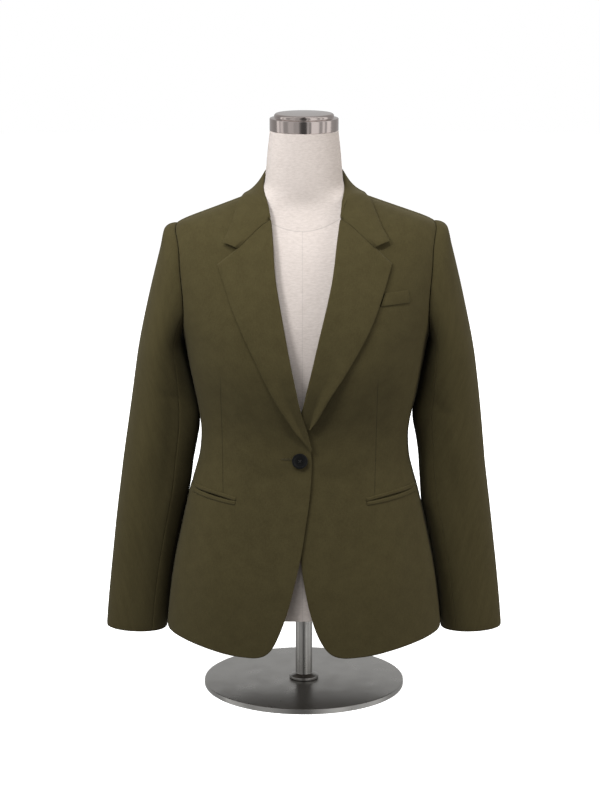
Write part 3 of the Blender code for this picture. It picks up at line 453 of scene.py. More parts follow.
form_mesh = bpy.data.meshes.new("linen_form")
level_count, turn_count = ring_x.shape
form_faces = grid_faces(level_count, turn_count, closed=True)
form_faces.append(tuple(range(turn_count))[::-1])
form_faces.append(tuple((level_count - 1) * turn_count + j for j in range(turn_count)))
form_mesh.from_pydata([tuple(p) for p in form_points.reshape(-1, 3)], [], form_faces)
store(form_mesh, "neck_seam", neck_seam)
store(form_mesh, "centre_seam", centre_seam)
linen_form = new_object("linen_form", form_mesh)
work = bmesh.new()
work.from_mesh(form_mesh)
bmesh.ops.recalc_face_normals(work, faces=work.faces[:])
work.to_mesh(form_mesh)
work.free()
form_mesh.shade_smooth()
form_mesh.set_sharp_from_angle(angle=math.radians(50))

# Plain-woven linen, washed and unbleached: uneven slubby threads of about 0.6 mm, drawn at
# 1.3 mm so that they show, with a matt, slightly dusty face.
LINEN_THREAD = 0.0013
# A wave texture repeats at this length at scale 1.
WAVE = 0.314
linen, tree, shader = new_material("unbleached_linen", {
    "Roughness": 0.88, "Sheen Weight": 0.15, "Sheen Roughness": 0.6, "Specular IOR Level": 0.25,
})
place = add_node(tree, "ShaderNodeTexCoord").outputs["Object"]
uneven = add_node(tree, "ShaderNodeTexNoise", {"Vector": place}, {"Scale": 90.0, "Detail": 3.0})
pushed = add_node(
    tree, "ShaderNodeVectorMath", {0: uneven.outputs["Color"]}, {1: (0.0009, 0.0009, 0.0009)},
    operation="MULTIPLY",
)
woven = add_node(tree, "ShaderNodeVectorMath", {0: place, 1: pushed}, operation="ADD")
upright, level = (
    add_node(
        tree, "ShaderNodeTexWave", {"Vector": woven},
        {"Scale": WAVE / LINEN_THREAD, "Distortion": 0.6, "Detail": 1.0}, bands_direction=across,
    ).outputs["Fac"]
    for across in ("X", "Z")
)
threads = add_node(tree, "ShaderNodeMath", {0: upright, 1: level}, operation="MULTIPLY")
stretch = add_node(
    tree, "ShaderNodeVectorMath", {0: place}, {1: (170.0, 170.0, 620.0)}, operation="MULTIPLY"
)
slubs = add_node(tree, "ShaderNodeTexNoise", {"Vector": stretch}, {"Scale": 1.0, "Detail": 2.0})
tone = add_node(tree, "ShaderNodeMath", {0: threads, 1: slubs}, operation="ADD")
ramp = add_node(tree, "ShaderNodeValToRGB", {"Fac": tone})
ramp.color_ramp.elements[0].position = 0.30
ramp.color_ramp.elements[0].color = linear("#AB9F96")
ramp.color_ramp.elements[1].color = linear("#C7BCB4")


def cover_seam(name, shade):
    """How far off a seam of the cover a point is, and a painted shade that is 1 off its groove and
    darkens the colour in it.
    """
    off = add_node(tree, "ShaderNodeAttribute", attribute_name=name).outputs["Fac"]
    near = add_node(tree, "ShaderNodeMath", {0: off}, operation="ABSOLUTE")
    return off, add_node(
        tree, "ShaderNodeMapRange", {"Value": near},
        {"From Min": 0.0002, "From Max": 0.0010, "To Min": shade, "To Max": 1.0},
    )


above_neck, neck_shade = cover_seam("neck_seam", 0.80)
_, centre_shade = cover_seam("centre_seam", 0.88)
above = add_node(tree, "ShaderNodeMath", {0: above_neck}, {1: 0.0}, operation="GREATER_THAN")
centre_shade = add_node(
    tree, "ShaderNodeMath", {0: centre_shade, 1: above}, operation="MAXIMUM"
)
groove_depth_and_shade = add_node(
    tree, "ShaderNodeMath", {0: neck_shade, 1: centre_shade}, operation="MULTIPLY"
)
# Painted shade: the linen's colour is darkened along both seam grooves.
colour = add_node(tree, "ShaderNodeVectorMath", {0: ramp, "Scale": groove_depth_and_shade}, operation="SCALE")
height = add_node(tree, "ShaderNodeMath", {0: threads, 1: groove_depth_and_shade}, operation="ADD")
bump = add_node(tree, "ShaderNodeBump", {"Height": height}, {"Strength": 0.35, "Distance": 0.00030})
join(shader, {"Base Color": colour, "Normal": bump})
form_mesh.materials.append(linen)
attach(linen_form, "root")
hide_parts("form_body")


# --- neck cap --------------------------------------------------------------------------------
# A stepped cap spun from stainless steel sheet, pressed onto the neck's top and brushed
# round. It gives broad soft upright highlights with fine level lines.
cap_low, cap_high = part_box("neck_cap")
cap_steel = brushed_steel("brushed_stainless_cap", "#D8CCC7", 0.10, 1400.0)
neck_cap = turned(
    "spun_neck_cap", "neck_cap",
    rounded([
        (0.0, cap_high.z), (0.0412, cap_high.z), (0.0436, cap_high.z - 0.0024),
        (0.0436, cap_high.z - 0.0060), (0.0500, cap_high.z - 0.0068),
        (0.0500, cap_low.z), (0.0, cap_low.z),
    ], 0.0013),
    cap_steel, 160,
)
# The photograph shows no shadow of the cap on the linen.
neck_cap.visible_shadow = False


# --- fronts ----------------------------------------------------------------------------------
# Two fronts of fine worsted wool, cut from the shoulder to the hem, cut away and rounded
# below the button. Each has one waist dart that ends at the hip pocket. The wearer's right
# front fastens over the left one.

BOXINESS = 2.4
# Body sections of the jacket, rounded squares of this boxiness: height, half width, depth to
# the front, depth to the back.
BODY = (
    (0.000, 0.2085, 0.1260, 0.1220),
    (0.028, 0.2060, 0.1255, 0.1225),
    (0.070, 0.2013, 0.1240, 0.1220),
    (0.107, 0.1965, 0.1225, 0.1210),
    (0.130, 0.1928, 0.1205, 0.1195),
    (0.177, 0.1835, 0.1150, 0.1140),
    (0.232, 0.1722, 0.1090, 0.1040),
    (0.262, 0.1637, 0.1060, 0.0970),
    (0.297, 0.1562, 0.1040, 0.0910),
    (0.326, 0.1545, 0.1050, 0.0890),
    (0.354, 0.1575, 0.1090, 0.0890),
    (0.380, 0.1622, 0.1150, 0.0910),
    (0.413, 0.1682, 0.1220, 0.0940),
    (0.447, 0.1745, 0.1250, 0.0980),
    (0.468, 0.1785, 0.1240, 0.1010),
    (0.490, 0.1850, 0.1220, 0.1030),
    (0.525, 0.1935, 0.1150, 0.1040),
    (0.560, 0.2000, 0.1050, 0.1020),
    (0.590, 0.2030, 0.0930, 0.0980),
    (0.612, 0.2015, 0.0820, 0.0940),
    (0.630, 0.1975, 0.0690, 0.0870),
    (0.640, 0.1900, 0.0610, 0.0820),
    (0.650, 0.1630, 0.0550, 0.0765),
    (0.660, 0.1350, 0.0470, 0.0710),
    (0.670, 0.1080, 0.0400, 0.0650),
    (0.678, 0.0860, 0.0350, 0.0600),
    (0.684, 0.0700, 0.0310, 0.0560),
)
# Where the centre front line stands at each height: height, x.
CENTRE_FRONT = (
    (0.000, -0.0045),
    (0.280, -0.0045),
    (0.400, -0.0070),
    (0.485, -0.0065),
    (0.515, -0.0055),
    (0.550, -0.0040),
    (0.600, -0.0028),
    (0.640, -0.0018),
    (0.690, 0.0000),
)
# The cloth hangs a little to the wearer's left at chest height: height, shift.
SWAY = (
    (0.280, 0.0000),
    (0.420, 0.0030),
    (0.640, 0.0030),
    (0.690, 0.0000),
)
# The front's free edge, from the hem round the cutaway, up the roll line to the neck
# point: place along it, distance past the centre front on the wearer's right and left,
# height.
FRONT_EDGE = (
    (0.000, -0.0700, -0.0660, 0.0114),
    (0.020, -0.0590, -0.0530, 0.0130),
    (0.045, -0.0478, -0.0412, 0.0195),
    (0.070, -0.0392, -0.0318, 0.0317),
    (0.100, -0.0316, -0.0232, 0.0487),
    (0.150, -0.0203, -0.0133, 0.0800),
    (0.220, -0.0076, -0.0034, 0.1300),
    (0.265, -0.0008, 0.0004, 0.1600),
    (0.335, 0.0071, 0.0071, 0.2107),
    (0.400, 0.0132, 0.0132, 0.2557),
    (0.455, 0.0155, 0.0155, 0.2950),
    (0.490, 0.0137, 0.0137, 0.3234),
    (0.525, 0.0080, 0.0078, 0.3490),
    (0.565, -0.0022, -0.0030, 0.3820),
    (0.620, -0.0130, -0.0142, 0.4300),
    (0.685, -0.0243, -0.0262, 0.4850),
    (0.745, -0.0350, -0.0366, 0.5350),
    (0.790, -0.0428, -0.0436, 0.5740),
    (0.850, -0.0470, -0.0488, 0.6226),
    (0.880, -0.0496, -0.0528, 0.6480),
    (0.930, -0.0590, -0.0590, 0.6680),
    (0.965, -0.0655, -0.0655, 0.6780),
    (1.000, -0.0700, -0.0700, 0.6840),
)
# The armhole seam: turn from the shoulder by the front, angle round the body, height.
ARMHOLE = (
    (0.0, 90.0, 0.6400),
    (22.0, 77.9, 0.6355),
    (45.0, 66.8, 0.6200),
    (68.0, 62.3, 0.5920),
    (90.0, 62.6, 0.5560),
    (115.0, 66.0, 0.5180),
    (140.0, 74.0, 0.4900),
    (160.0, 85.0, 0.4755),
    (180.0, 97.0, 0.4705),
    (200.0, 108.0, 0.4755),
    (220.0, 116.5, 0.4900),
    (245.0, 121.5, 0.5180),
    (270.0, 122.5, 0.5520),
    (292.0, 121.5, 0.5880),
    (315.0, 114.5, 0.6180),
    (338.0, 102.0, 0.6350),
    (360.0, 90.0, 0.6400),
)
UNDERARM_TURN = 180.0
PRINCESS_TURN = 262.0
SIDE_SEAM = 97.0
PRINCESS_SEAM = 137.0
SIDE_HEM = 0.0320
# Panels stand this far apart, in degrees, on each side of a seam, and the shoulder seam's
# front and back edges stand at these angles.
SEAM_GAP = 0.08
SHOULDER_FRONT = 89.94
SHOULDER_BACK = 90.06
# Where the front's rows meet the side seam (place, height) and then the armhole (place,
# turn), and how the front's hem rises from the cutaway to the side seam (share, height).
SIDE_OF_FRONT = (
    (0.000, SIDE_HEM),
    (0.100, 0.0600),
    (0.265, 0.1650),
    (0.455, 0.2970),
    (0.620, 0.4200),
    (0.685, 0.4705),
)
TURN_OF_FRONT = (
    (0.685, 180.0),
    (0.745, 140.0),
    (0.790, 100.0),
    (0.850, 62.0),
    (0.890, 45.0),
    (0.940, 22.0),
    (1.000, 0.0),
)
HEM = (
    (0.00, 0.0114),
    (0.10, 0.0127),
    (0.25, 0.0187),
    (0.45, 0.0260),
    (0.65, 0.0302),
    (1.00, SIDE_HEM),
)
half_width, front_depth, back_depth = columns(BODY)
centre_front = columns(CENTRE_FRONT)[0]
edge_past_right, edge_past_left, edge_height = columns(FRONT_EDGE)
sway = columns(SWAY)[0]
armhole_angle, armhole_height = columns(ARMHOLE)


def unit(vectors):
    """The same directions with a length of 1."""
    return vectors / np.linalg.norm(vectors, axis=-1, keepdims=True)


def outward(points, depth_sign):
    """Distance from the jacket's surface and the way out of it, at points near it."""
    x, y, z = points[..., 0], points[..., 1], points[..., 2]
    step = 0.0012
    wide = half_width(z)
    wide_slope = (half_width(z + step) - half_width(z - step)) / (2 * step)
    front = depth_sign < 0
    deep = np.where(front, front_depth(z), back_depth(z))
    deep_slope = np.where(
        front,
        front_depth(z + step) - front_depth(z - step),
        back_depth(z + step) - back_depth(z - step),
    ) / (2 * step)
    a = np.abs(x) / wide
    b = np.abs(y) / deep
    reach = np.maximum((a**BOXINESS + b**BOXINESS) ** (1 / BOXINESS), 1e-6)
    scale = reach ** (1 - BOXINESS)
    gx = scale * a ** (BOXINESS - 1) * np.sign(x) / wide
    gy = scale * b ** (BOXINESS - 1) * np.sign(y) / deep
    gz = -scale * (a**BOXINESS * wide_slope / wide + b**BOXINESS * deep_slope / deep)
    slope = np.stack([gx, gy, gz], -1)
    size = np.linalg.norm(slope, axis=-1)
    return (reach - 1) / size, slope / size[..., None]


def on_body(angle, z, lift=0.0):
    """Points of the jacket's outer face at angles from the centre front, and the normals."""
    angle, z = np.broadcast_arrays(np.asarray(angle, float), np.asarray(z, float))
    deep = np.where(np.abs(angle) < 90.0, front_depth(z), back_depth(z))
    s = np.sin(np.radians(angle))
    c = np.cos(np.radians(angle))
    x = half_width(z) * np.sign(s) * np.abs(s) ** (2 / BOXINESS)
    y = -deep * np.sign(c) * np.abs(c) ** (2 / BOXINESS)
    points = np.stack([x, y, z], -1)
    normals = outward(points, np.where(np.abs(angle) < 90.0, -1.0, 1.0))[1]
    return points + normals * np.asarray(lift, float)[..., None], normals


def angle_at(x, z):
    """The angle from the centre front of the front surface's point at x."""
    share = np.clip(np.abs(x) / half_width(z), 0.0, 1.0)
    return np.sign(x) * np.degrees(np.arcsin(share ** (BOXINESS / 2)))


def patch(left, right, bottom, top, rows, cols):
    """A grid of (angle, height) between four border lines, at places 0 to 1 up and across."""
    v, u = rows[:, None, None], cols[None, :, None]
    le, ri = left(rows)[:, None], right(rows)[:, None]
    bo, to = bottom(cols)[None], top(cols)[None]
    corners = (1 - u) * (1 - v) * bo[:, :1] + u * (1 - v) * bo[:, -1:]
    corners = corners + (1 - u) * v * to[:, :1] + u * v * to[:, -1:]
    return (1 - u) * le + u * ri + (1 - v) * bo + v * to - corners


def paired(angle, z):
    """(angle, height) places."""
    return np.stack(np.broadcast_arrays(angle, z), -1)


# The right front lies on top, as it fastens, so it stands out a little near the centre.
OVER_LIFT = 0.0030
UNDER_LIFT = -0.0015


def overlap_lift(side, x, z):
    """How far a front stands out from the body's surface where the two overlap."""
    near = 1 - smooth(0.020, 0.075, np.abs(x - centre_front(z)))
    low = 1 - smooth(0.430, 0.530, z)
    return (OVER_LIFT if side < 0 else UNDER_LIFT) * near * low


def creases(a, z, table):
    """Soft uneven ridges (+) and troughs (-): place, lean, half length, half width, height."""
    lift = np.zeros(np.broadcast(a, z).shape)
    for place_a, place_z, lean, length, width, height in table:
        c, s = math.cos(math.radians(lean)), math.sin(math.radians(lean))
        along = (a - place_a) * c + (z - place_z) * s
        across = (z - place_z) * c - (a - place_a) * s
        across = across + 0.3 * width * np.sin(2.6 * along / length + 40 * place_a + 23 * place_z)
        lift = lift + height * np.exp(-((across / width) ** 2)) * np.exp(-((along / length) ** 4))
    return lift


# Ridges and troughs of the fronts: distance out, height, lean, length, width, height.
FRONT_FOLDS = (
    (0.096, 0.478, 84, 0.075, 0.048, 0.0026),
    (0.112, 0.350, 90, 0.085, 0.017, -0.0016),
    (0.062, 0.330, 82, 0.080, 0.024, 0.0010),
    (0.150, 0.330, 92, 0.070, 0.018, -0.0014),
    (0.060, 0.305, 8, 0.040, 0.012, 0.0006),
    (0.058, 0.276, -22, 0.040, 0.011, -0.0007),
    (0.065, 0.345, 30, 0.045, 0.011, -0.0006),
    (0.130, 0.130, 80, 0.090, 0.030, 0.0022),
    (0.075, 0.150, 74, 0.080, 0.022, -0.0012),
    (0.165, 0.150, 84, 0.080, 0.016, -0.0014),
    (0.120, 0.590, 70, 0.040, 0.022, -0.0010),
)


def front_folds(side, points):
    """How far the soft folds stand out of a front at its points."""
    out = side * (points[..., 0] - centre_front(points[..., 2]))
    return creases(out, points[..., 2], FRONT_FOLDS) * smooth(0.0, 0.035, out)


def on_front(side, angle, z, lift=0.0):
    """Points on a front's outer face, with its overlap and soft folds, and the normals."""
    plain, _ = on_body(angle, z)
    own = overlap_lift(side, plain[..., 0], plain[..., 2]) + front_folds(side, plain)
    return on_body(angle, z, own + lift)


def edge_point(side, v):
    """The front's free edge at v: x and height."""
    z = edge_height(v)
    past = edge_past_left(v) if side > 0 else edge_past_right(v)
    return centre_front(z) - side * past, z


def front_grid(side, rows, cols):
    """(angle, height) of a front from its free edge to the side seam and armhole."""
    side_height, turn, hem = columns(SIDE_OF_FRONT)[0], columns(TURN_OF_FRONT)[0], columns(HEM)[0]

    def left(v):
        x, z = edge_point(side, v)
        angle = angle_at(x, z)
        return paired(np.where(v > 0.9999, side * SHOULDER_FRONT, angle), z)

    def right(v):
        low = v <= TURN_OF_FRONT[0][0]
        angle = np.where(low, SIDE_SEAM - SEAM_GAP, armhole_angle(turn(v)))
        angle = np.minimum(angle, SIDE_SEAM - SEAM_GAP)
        z = np.where(low, side_height(v), armhole_height(turn(v)))
        return paired(side * angle, z) - paired(side * 0.06 * (v > 0.9999), 0)

    def bottom(u):
        start, end = left(np.array([0.0]))[0], right(np.array([0.0]))[0]
        angle = start[0] + (end[0] - start[0]) * u
        return paired(angle, hem(u))

    def top(u):
        rise = armhole_height(0.0) - edge_height(1.0)
        return paired(side * SHOULDER_FRONT, edge_height(1.0) + rise * u)

    return patch(left, right, bottom, top, rows, cols)


def marks(count, length):
    """Places from 0 to 1 across a panel, crowded near both edges, where the cloth turns in."""
    near = np.array([0.0, 0.0006, 0.0013, 0.0022, 0.0034, 0.0052]) / length
    middle = np.linspace(near[-1] * 1.5, 1 - near[-1] * 1.5, count)
    return np.concatenate([near, middle, 1 - near[::-1]])


# Fine worsted wool in a tight twill, about 20 threads to the centimetre, drawn at 1.1 mm so
# that it shows: a smooth matt face with a low soft sheen and faint uneven upright threads.
TWILL = 0.0011
worsted, tree, shader = new_material("fine_olive_worsted", {
    "Roughness": 0.80, "Specular IOR Level": 0.20, "Sheen Weight": 0.07, "Sheen Roughness": 0.55,
    "Sheen Tint": linear("#B4AF9C"),
})
place = add_node(tree, "ShaderNodeUVMap", uv_map="cloth")
slant = add_node(
    tree, "ShaderNodeMapping", {"Vector": place}, {"Rotation": (0.0, 0.0, math.radians(28))}
)
twill = add_node(
    tree, "ShaderNodeTexWave", {"Vector": slant},
    {"Scale": WAVE / TWILL, "Distortion": 1.4, "Detail": 2.0, "Detail Scale": 2.0},
    bands_direction="X",
)
upright, crossing = (
    add_node(
        tree, "ShaderNodeTexNoise",
        {"Vector": add_node(tree, "ShaderNodeMapping", {"Vector": place}, {"Scale": stretch})},
        {"Scale": 1.0, "Detail": detail},
    )
    for stretch, detail in (((620.0, 150.0, 1.0), 3.0), ((200.0, 620.0, 1.0), 2.0))
)
cloud = add_node(tree, "ShaderNodeTexNoise", {"Vector": place}, {"Scale": 50.0, "Detail": 3.0})
crossing = add_node(tree, "ShaderNodeMath", {0: crossing}, {1: 0.8}, operation="MULTIPLY")
threads = add_node(tree, "ShaderNodeMath", {0: upright, 1: crossing}, operation="ADD")
tone = add_node(tree, "ShaderNodeMath", {0: threads, 1: cloud}, operation="ADD")
tone = add_node(tree, "ShaderNodeMapRange", {"Value": tone}, {"From Min": 1.05, "From Max": 1.75})
ramp = add_node(tree, "ShaderNodeValToRGB", {"Fac": tone})
ramp.color_ramp.elements[0].color = linear("#3B341F")
ramp.color_ramp.elements[1].color = linear("#433C25")
# Sewn lines sit a little deeper and carry painted shade that darkens the cloth's colour on
# them, each by its own share.
off_line, line_shade = (
    add_node(tree, "ShaderNodeAttribute", attribute_name=name).outputs["Fac"]
    for name in ("sewn_line", "shade_share")
)
off_line = add_node(tree, "ShaderNodeMath", {0: off_line}, operation="ABSOLUTE")
on_line = add_node(
    tree, "ShaderNodeMapRange", {"Value": off_line},
    {"From Min": 0.0001, "From Max": 0.0009, "To Min": 1.0, "To Max": 0.0},
)
shade_and_sink = add_node(tree, "ShaderNodeMath", {0: on_line, 1: line_shade}, operation="MULTIPLY")
plain = add_node(tree, "ShaderNodeMath", {1: shade_and_sink}, {0: 1.0}, operation="SUBTRACT")
dark = add_node(tree, "ShaderNodeMapRange", {"Value": plain}, {"To Min": 0.60})
# Painted shade: the cloth's colour is darkened on the sewn lines.
colour = add_node(tree, "ShaderNodeVectorMath", {0: ramp, "Scale": dark}, operation="SCALE")
height = add_node(
    tree, "ShaderNodeMath", {0: twill.outputs["Fac"], 2: threads}, {1: 0.4},
    operation="MULTIPLY_ADD",
)
height = add_node(
    tree, "ShaderNodeMath", {0: plain, 2: height}, {1: 5.0}, operation="MULTIPLY_ADD"
)
bump = add_node(tree, "ShaderNodeBump", {"Height": height}, {"Strength": 0.30, "Distance": 0.00012})
join(shader, {"Base Color": colour, "Normal": bump})

# A distance from a sewn line for cloth that has none.
FAR = 1.0
# How cloth turns in at a seam and at a free edge: a sharp dip and how far it reaches, and a
# soft one and how far that reaches. MOST_DIP is the most that both may come to.
SEAM_DIP = (0.0006, 0.0007, 0.00020, 0.0050)
EDGE_DIP = (0.0005, 0.0011, 0.00025, 0.0045)
FLAT_SEAM_DIP = (0.0004, 0.0006, 0.00010, 0.0035)
MOST_DIP = 0.0022
# How far a seam allowance goes on beyond the seam, and how deep it lies there.
ALLOWANCE = ((0.0006, 0.0010), (0.0020, 0.0019), (0.0048, 0.0024))


def lengths(points, axis):
    """Distance along a grid of points from its first row or column."""
    step = np.linalg.norm(np.diff(points, axis=axis), axis=-1)
    first = np.zeros_like(np.take(step, [0], axis=axis))
    return np.concatenate([first, np.cumsum(step, axis=axis)], axis=axis)


# Where the sleeve lies against the jacket's side both give way to each other in one soft
# bend: height, distance out of the place they meet.
SIDE_CONTACT = (
    (0.040, 0.2045), (0.055, 0.2035), (0.089, 0.1995), (0.117, 0.1955), (0.149, 0.1900),
    (0.175, 0.1850), (0.208, 0.1790), (0.236, 0.1740),
)
SIDE_BEND = 0.0011
side_contact = columns(SIDE_CONTACT)[0]


def side_bend(points):
    """How far the cloth bends sideways where sleeve and jacket lie together."""
    x, y, z = points.T
    meets = side_contact(np.clip(z, SIDE_CONTACT[0][0], SIDE_CONTACT[-1][0]))
    near = smooth(0.034, 0.014, np.abs(np.abs(x) - meets))
    near = near * smooth(0.035, 0.075, z) * smooth(0.228, 0.198, z)
    bend = np.exp(-(((y - 0.002) / 0.008) ** 2)) - np.exp(-(((y - 0.021) / 0.008) ** 2))
    return SIDE_BEND * np.sign(x) * near * bend


def cloth(name, node, outer, ways, borders, thick=0.0013, sewn_at=None,
          shade_share=None, allowances=(), seam_dip=SEAM_DIP,
          allowance=ALLOWANCE):
    """One panel: an outer face from a grid, its borders turned in, given a wall inward.

    borders says what the first column, last column, first row and last row are: 1 for a
    seam, 0 for a free edge, None for an end that lies under another panel. allowances
    names by number those of the four borders that have a seam allowance.
    """
    rows, cols = outer.shape[:2]
    across, along = lengths(outer, 1), lengths(outer, 0)
    dip = np.zeros((rows, cols))
    in_from = (across, across[:, -1:] - across, along, along[-1:] - along)
    for seam, gone in zip(borders, in_from):
        if seam is None:
            continue
        for share, (sharp, near, soft, far) in ((seam, seam_dip), (1 - seam, EDGE_DIP)):
            turned_in = sharp * np.exp(-gone / near) + soft * np.exp(-((gone / far) ** 2))
            dip = dip + share * turned_in
    outer = outer - ways * np.minimum(dip, MOST_DIP)[..., None]
    shown = np.zeros((rows, cols)) if shade_share is None else shade_share
    line_at = np.full((rows, cols), FAR) if sewn_at is None else sewn_at
    for border in allowances:
        # The seam allowance goes on under the next panel, so that no light comes through.
        turn = (lambda grid: grid) if border < 2 else (lambda grid: np.swapaxes(grid, 0, 1))
        flip = (lambda grid: grid[:, ::-1]) if border % 2 else (lambda grid: grid)
        grids = [flip(turn(grid)) for grid in (outer, ways, shown, line_at)]
        away = unit(grids[0][:, 0] - grids[0][:, 2])
        border_line, inward = grids[0][:, 0], grids[1][:, 0]
        under = [border_line + away * far - inward * deep for far, deep in allowance[::-1]]
        grids[0] = np.concatenate([np.stack(under, 1), grids[0]], 1)
        for k in (1, 2, 3):
            grids[k] = np.concatenate([np.repeat(grids[k][:, :1], len(under), 1), grids[k]], 1)
        outer, ways, shown, line_at = [turn(flip(grid)) for grid in grids]
    rows, cols = outer.shape[:2]
    across, along = lengths(outer, 1), lengths(outer, 0)
    points = outer.reshape(-1, 3)
    aside = np.array([1.0, 0.0, 0.0]) * (sway(points[:, 2]) + side_bend(points))[:, None]
    points = tilted(points + aside) + HEM_UP
    mesh = bpy.data.meshes.new(name)
    faces = grid_faces(rows, cols)
    row, col = rows // 2, cols // 2
    grid = points.reshape(rows, cols, 3)
    turn = np.cross(grid[row, col + 1] - grid[row, col], grid[row + 1, col] - grid[row, col])
    if np.dot(turn, ways[row, col]) < 0:
        faces = [face[::-1] for face in faces]
    mesh.from_pydata([tuple(p) for p in points], [], faces)
    from_middle = across - across[:, cols // 2][:, None]
    uv = mesh.uv_layers.new(name="cloth")
    corners = np.array([v for face in faces for v in face])
    spots = np.stack([from_middle.reshape(-1)[corners], along.reshape(-1)[corners]], -1)
    uv.data.foreach_set("uv", spots.reshape(-1).astype(np.float32))
    store(mesh, "sewn_line", line_at)
    store(mesh, "shade_share", shown)
    made = new_object(name, mesh)
    mesh.materials.append(worsted)
    mesh.shade_smooth()
    # The wall goes inward from the outer face, and its edges are softened a little.
    wall = made.modifiers.new("Wall", "SOLIDIFY")
    wall.thickness = thick
    wall.offset = -1.0
    wall.use_even_offset = False
    soft = made.modifiers.new("Soft edge", "BEVEL")
    soft.width = 0.00035
    soft.segments = 2
    soft.limit_method = "ANGLE"
    soft.angle_limit = math.radians(55)
    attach(made, "root")
    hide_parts(node)
    return made


# The dart runs straight from under the bust to the pocket: distance out and height of its ends.
DART = {1: (0.1105, 0.4440, 0.1075, 0.2500), -1: (0.1170, 0.4440, 0.1135, 0.2500)}
# Hip pockets: distance out, top of the upper welt, slit, foot of the lower welt. The slit's
# mouth goes a little into the front.
HIP_POCKET = (
    (0.0955, 0.2484, 0.2426, 0.2368),
    (0.1200, 0.2530, 0.2464, 0.2396),
    (0.1330, 0.2548, 0.2480, 0.2410),
    (0.1480, 0.2563, 0.2494, 0.2424),
    (0.1630, 0.2566, 0.2504, 0.2436),
)
pocket_out, _, pocket_slit, _ = zip(*HIP_POCKET)
MOUTH_DEPTH = 0.0042
MOUTH_WIDE = 0.0018
for side, name in ((1, "left_front"), (-1, "right_front")):
    # More rows lie at the height of the pocket's mouth.
    rows_at = np.sort(np.concatenate([marks(150, 0.75), np.linspace(0.352, 0.398, 70)]))
    grid = front_grid(side, rows_at, marks(84, 0.26))
    flat_points, _ = on_front(side, grid[..., 0], grid[..., 1])
    height = flat_points[..., 2]
    out = side * (flat_points[..., 0] - centre_front(height))
    slit = np.interp(out, pocket_out, pocket_slit)
    mouth = np.exp(-(((height - slit) / MOUTH_WIDE) ** 2))
    mouth = mouth * smooth(0.0955, 0.100, out) * (1 - smooth(0.1590, 0.1640, out))
    points, ways = on_front(side, grid[..., 0], grid[..., 1], -MOUTH_DEPTH * mouth)
    height = points[..., 2]
    top_out, top_z, low_out, low_z = DART[side]
    share = np.clip((height - low_z) / (top_z - low_z), 0, 1)
    off_dart = out - (low_out + (top_out - low_out) * share)
    # Painted shade on the dart line, between its ends, darkens the cloth's colour there.
    dart_shade = smooth(low_z - 0.003, low_z + 0.002, height) * (1 - smooth(0.405, top_z, height))
    cloth(
        name, "front_" + name.split("_")[0], points, ways, (0, 1, 0, 1),
        sewn_at=off_dart, shade_share=dart_shade,
    )


# --- side backs and backs --------------------------------------------------------------------
# The back is cut in four: two side backs and two backs, shaped by princess seams that run
# into the armholes, and a straight centre back seam. The hem is turned up and pressed.

# Half the gap at the princess seam, in degrees, and at the centre back seam, in metres.
PRINCESS_GAP = 0.09
CENTRE_GAP = 0.00015


def princess(v):
    """The back princess seam from the hem (0) to the armhole (1)."""
    z = SIDE_HEM + (armhole_height(PRINCESS_TURN) - SIDE_HEM) * v
    top = armhole_angle(PRINCESS_TURN)
    return top + (PRINCESS_SEAM - top) * (1 - np.clip(2 * v - 1, 0, 1) ** 2), z


def side_back_grid(side, rows, cols):
    """(angle, height) of a side back from the side seam to the princess seam."""

    def left(v):
        rise = armhole_height(UNDERARM_TURN) - SIDE_HEM
        return paired(side * (SIDE_SEAM + SEAM_GAP), SIDE_HEM + rise * v)

    def right(v):
        angle, z = princess(v)
        return paired(side * (angle - PRINCESS_GAP), z)

    def bottom(u):
        wide = PRINCESS_SEAM - SIDE_SEAM - 0.17
        return paired(side * (SIDE_SEAM + SEAM_GAP + wide * u), SIDE_HEM)

    def top(u):
        turn = UNDERARM_TURN + (PRINCESS_TURN - UNDERARM_TURN) * u
        last = armhole_angle(PRINCESS_TURN) - PRINCESS_GAP
        angle = np.clip(armhole_angle(turn), SIDE_SEAM + SEAM_GAP, last)
        return paired(side * angle, armhole_height(turn))

    return patch(left, right, bottom, top, rows, cols)


def back_x(angle, z):
    """How far out the back surface's point at an angle stands."""
    return half_width(z) * np.sin(np.radians(angle)) ** (2 / BOXINESS)


# The share of a back's height at which its princess seam ends in the armhole, and the share
# of its top that is shoulder seam.
SPLIT = 13 / 21
SHOULDER_SHARE = 0.64


def back_grid(side, rows, cols):
    """(angle, height) of a back from the princess seam and armhole to the centre back."""
    crown = edge_height(1.0)

    def left(v):
        seam, z = princess(np.clip(v / SPLIT, 0, 1))
        turn = PRINCESS_TURN + (360.0 - PRINCESS_TURN) * np.clip((v - SPLIT) / (1 - SPLIT), 0, 1)
        low = v < SPLIT
        high = np.maximum(armhole_angle(turn), SHOULDER_BACK)
        angle = np.where(low, seam + PRINCESS_GAP, high)
        z = np.where(low, z, armhole_height(turn))
        return paired(back_x(angle, z), z)

    def right(v):
        return paired(CENTRE_GAP, SIDE_HEM + (crown - SIDE_HEM) * v)

    def bottom(u):
        start = back_x(PRINCESS_SEAM + PRINCESS_GAP, SIDE_HEM)
        return paired(start + (CENTRE_GAP - start) * u, SIDE_HEM)

    def top(u):
        # The shoulder seam, then the neckline.
        rise = np.clip(u / SHOULDER_SHARE, 0, 1)
        z = armhole_height(0.0) + (crown - armhole_height(0.0)) * rise
        seam = back_x(SHOULDER_BACK, z)
        inward = np.clip((u - SHOULDER_SHARE) / 0.36, 0, 1)
        return paired(seam + (CENTRE_GAP - seam) * inward, z)

    grid = patch(left, right, bottom, top, rows, cols)
    share = np.clip(grid[..., 0] / half_width(grid[..., 1]), 0, 1)
    angle = 180.0 - np.degrees(np.arcsin(share ** (BOXINESS / 2)))
    return paired(side * angle, grid[..., 1])


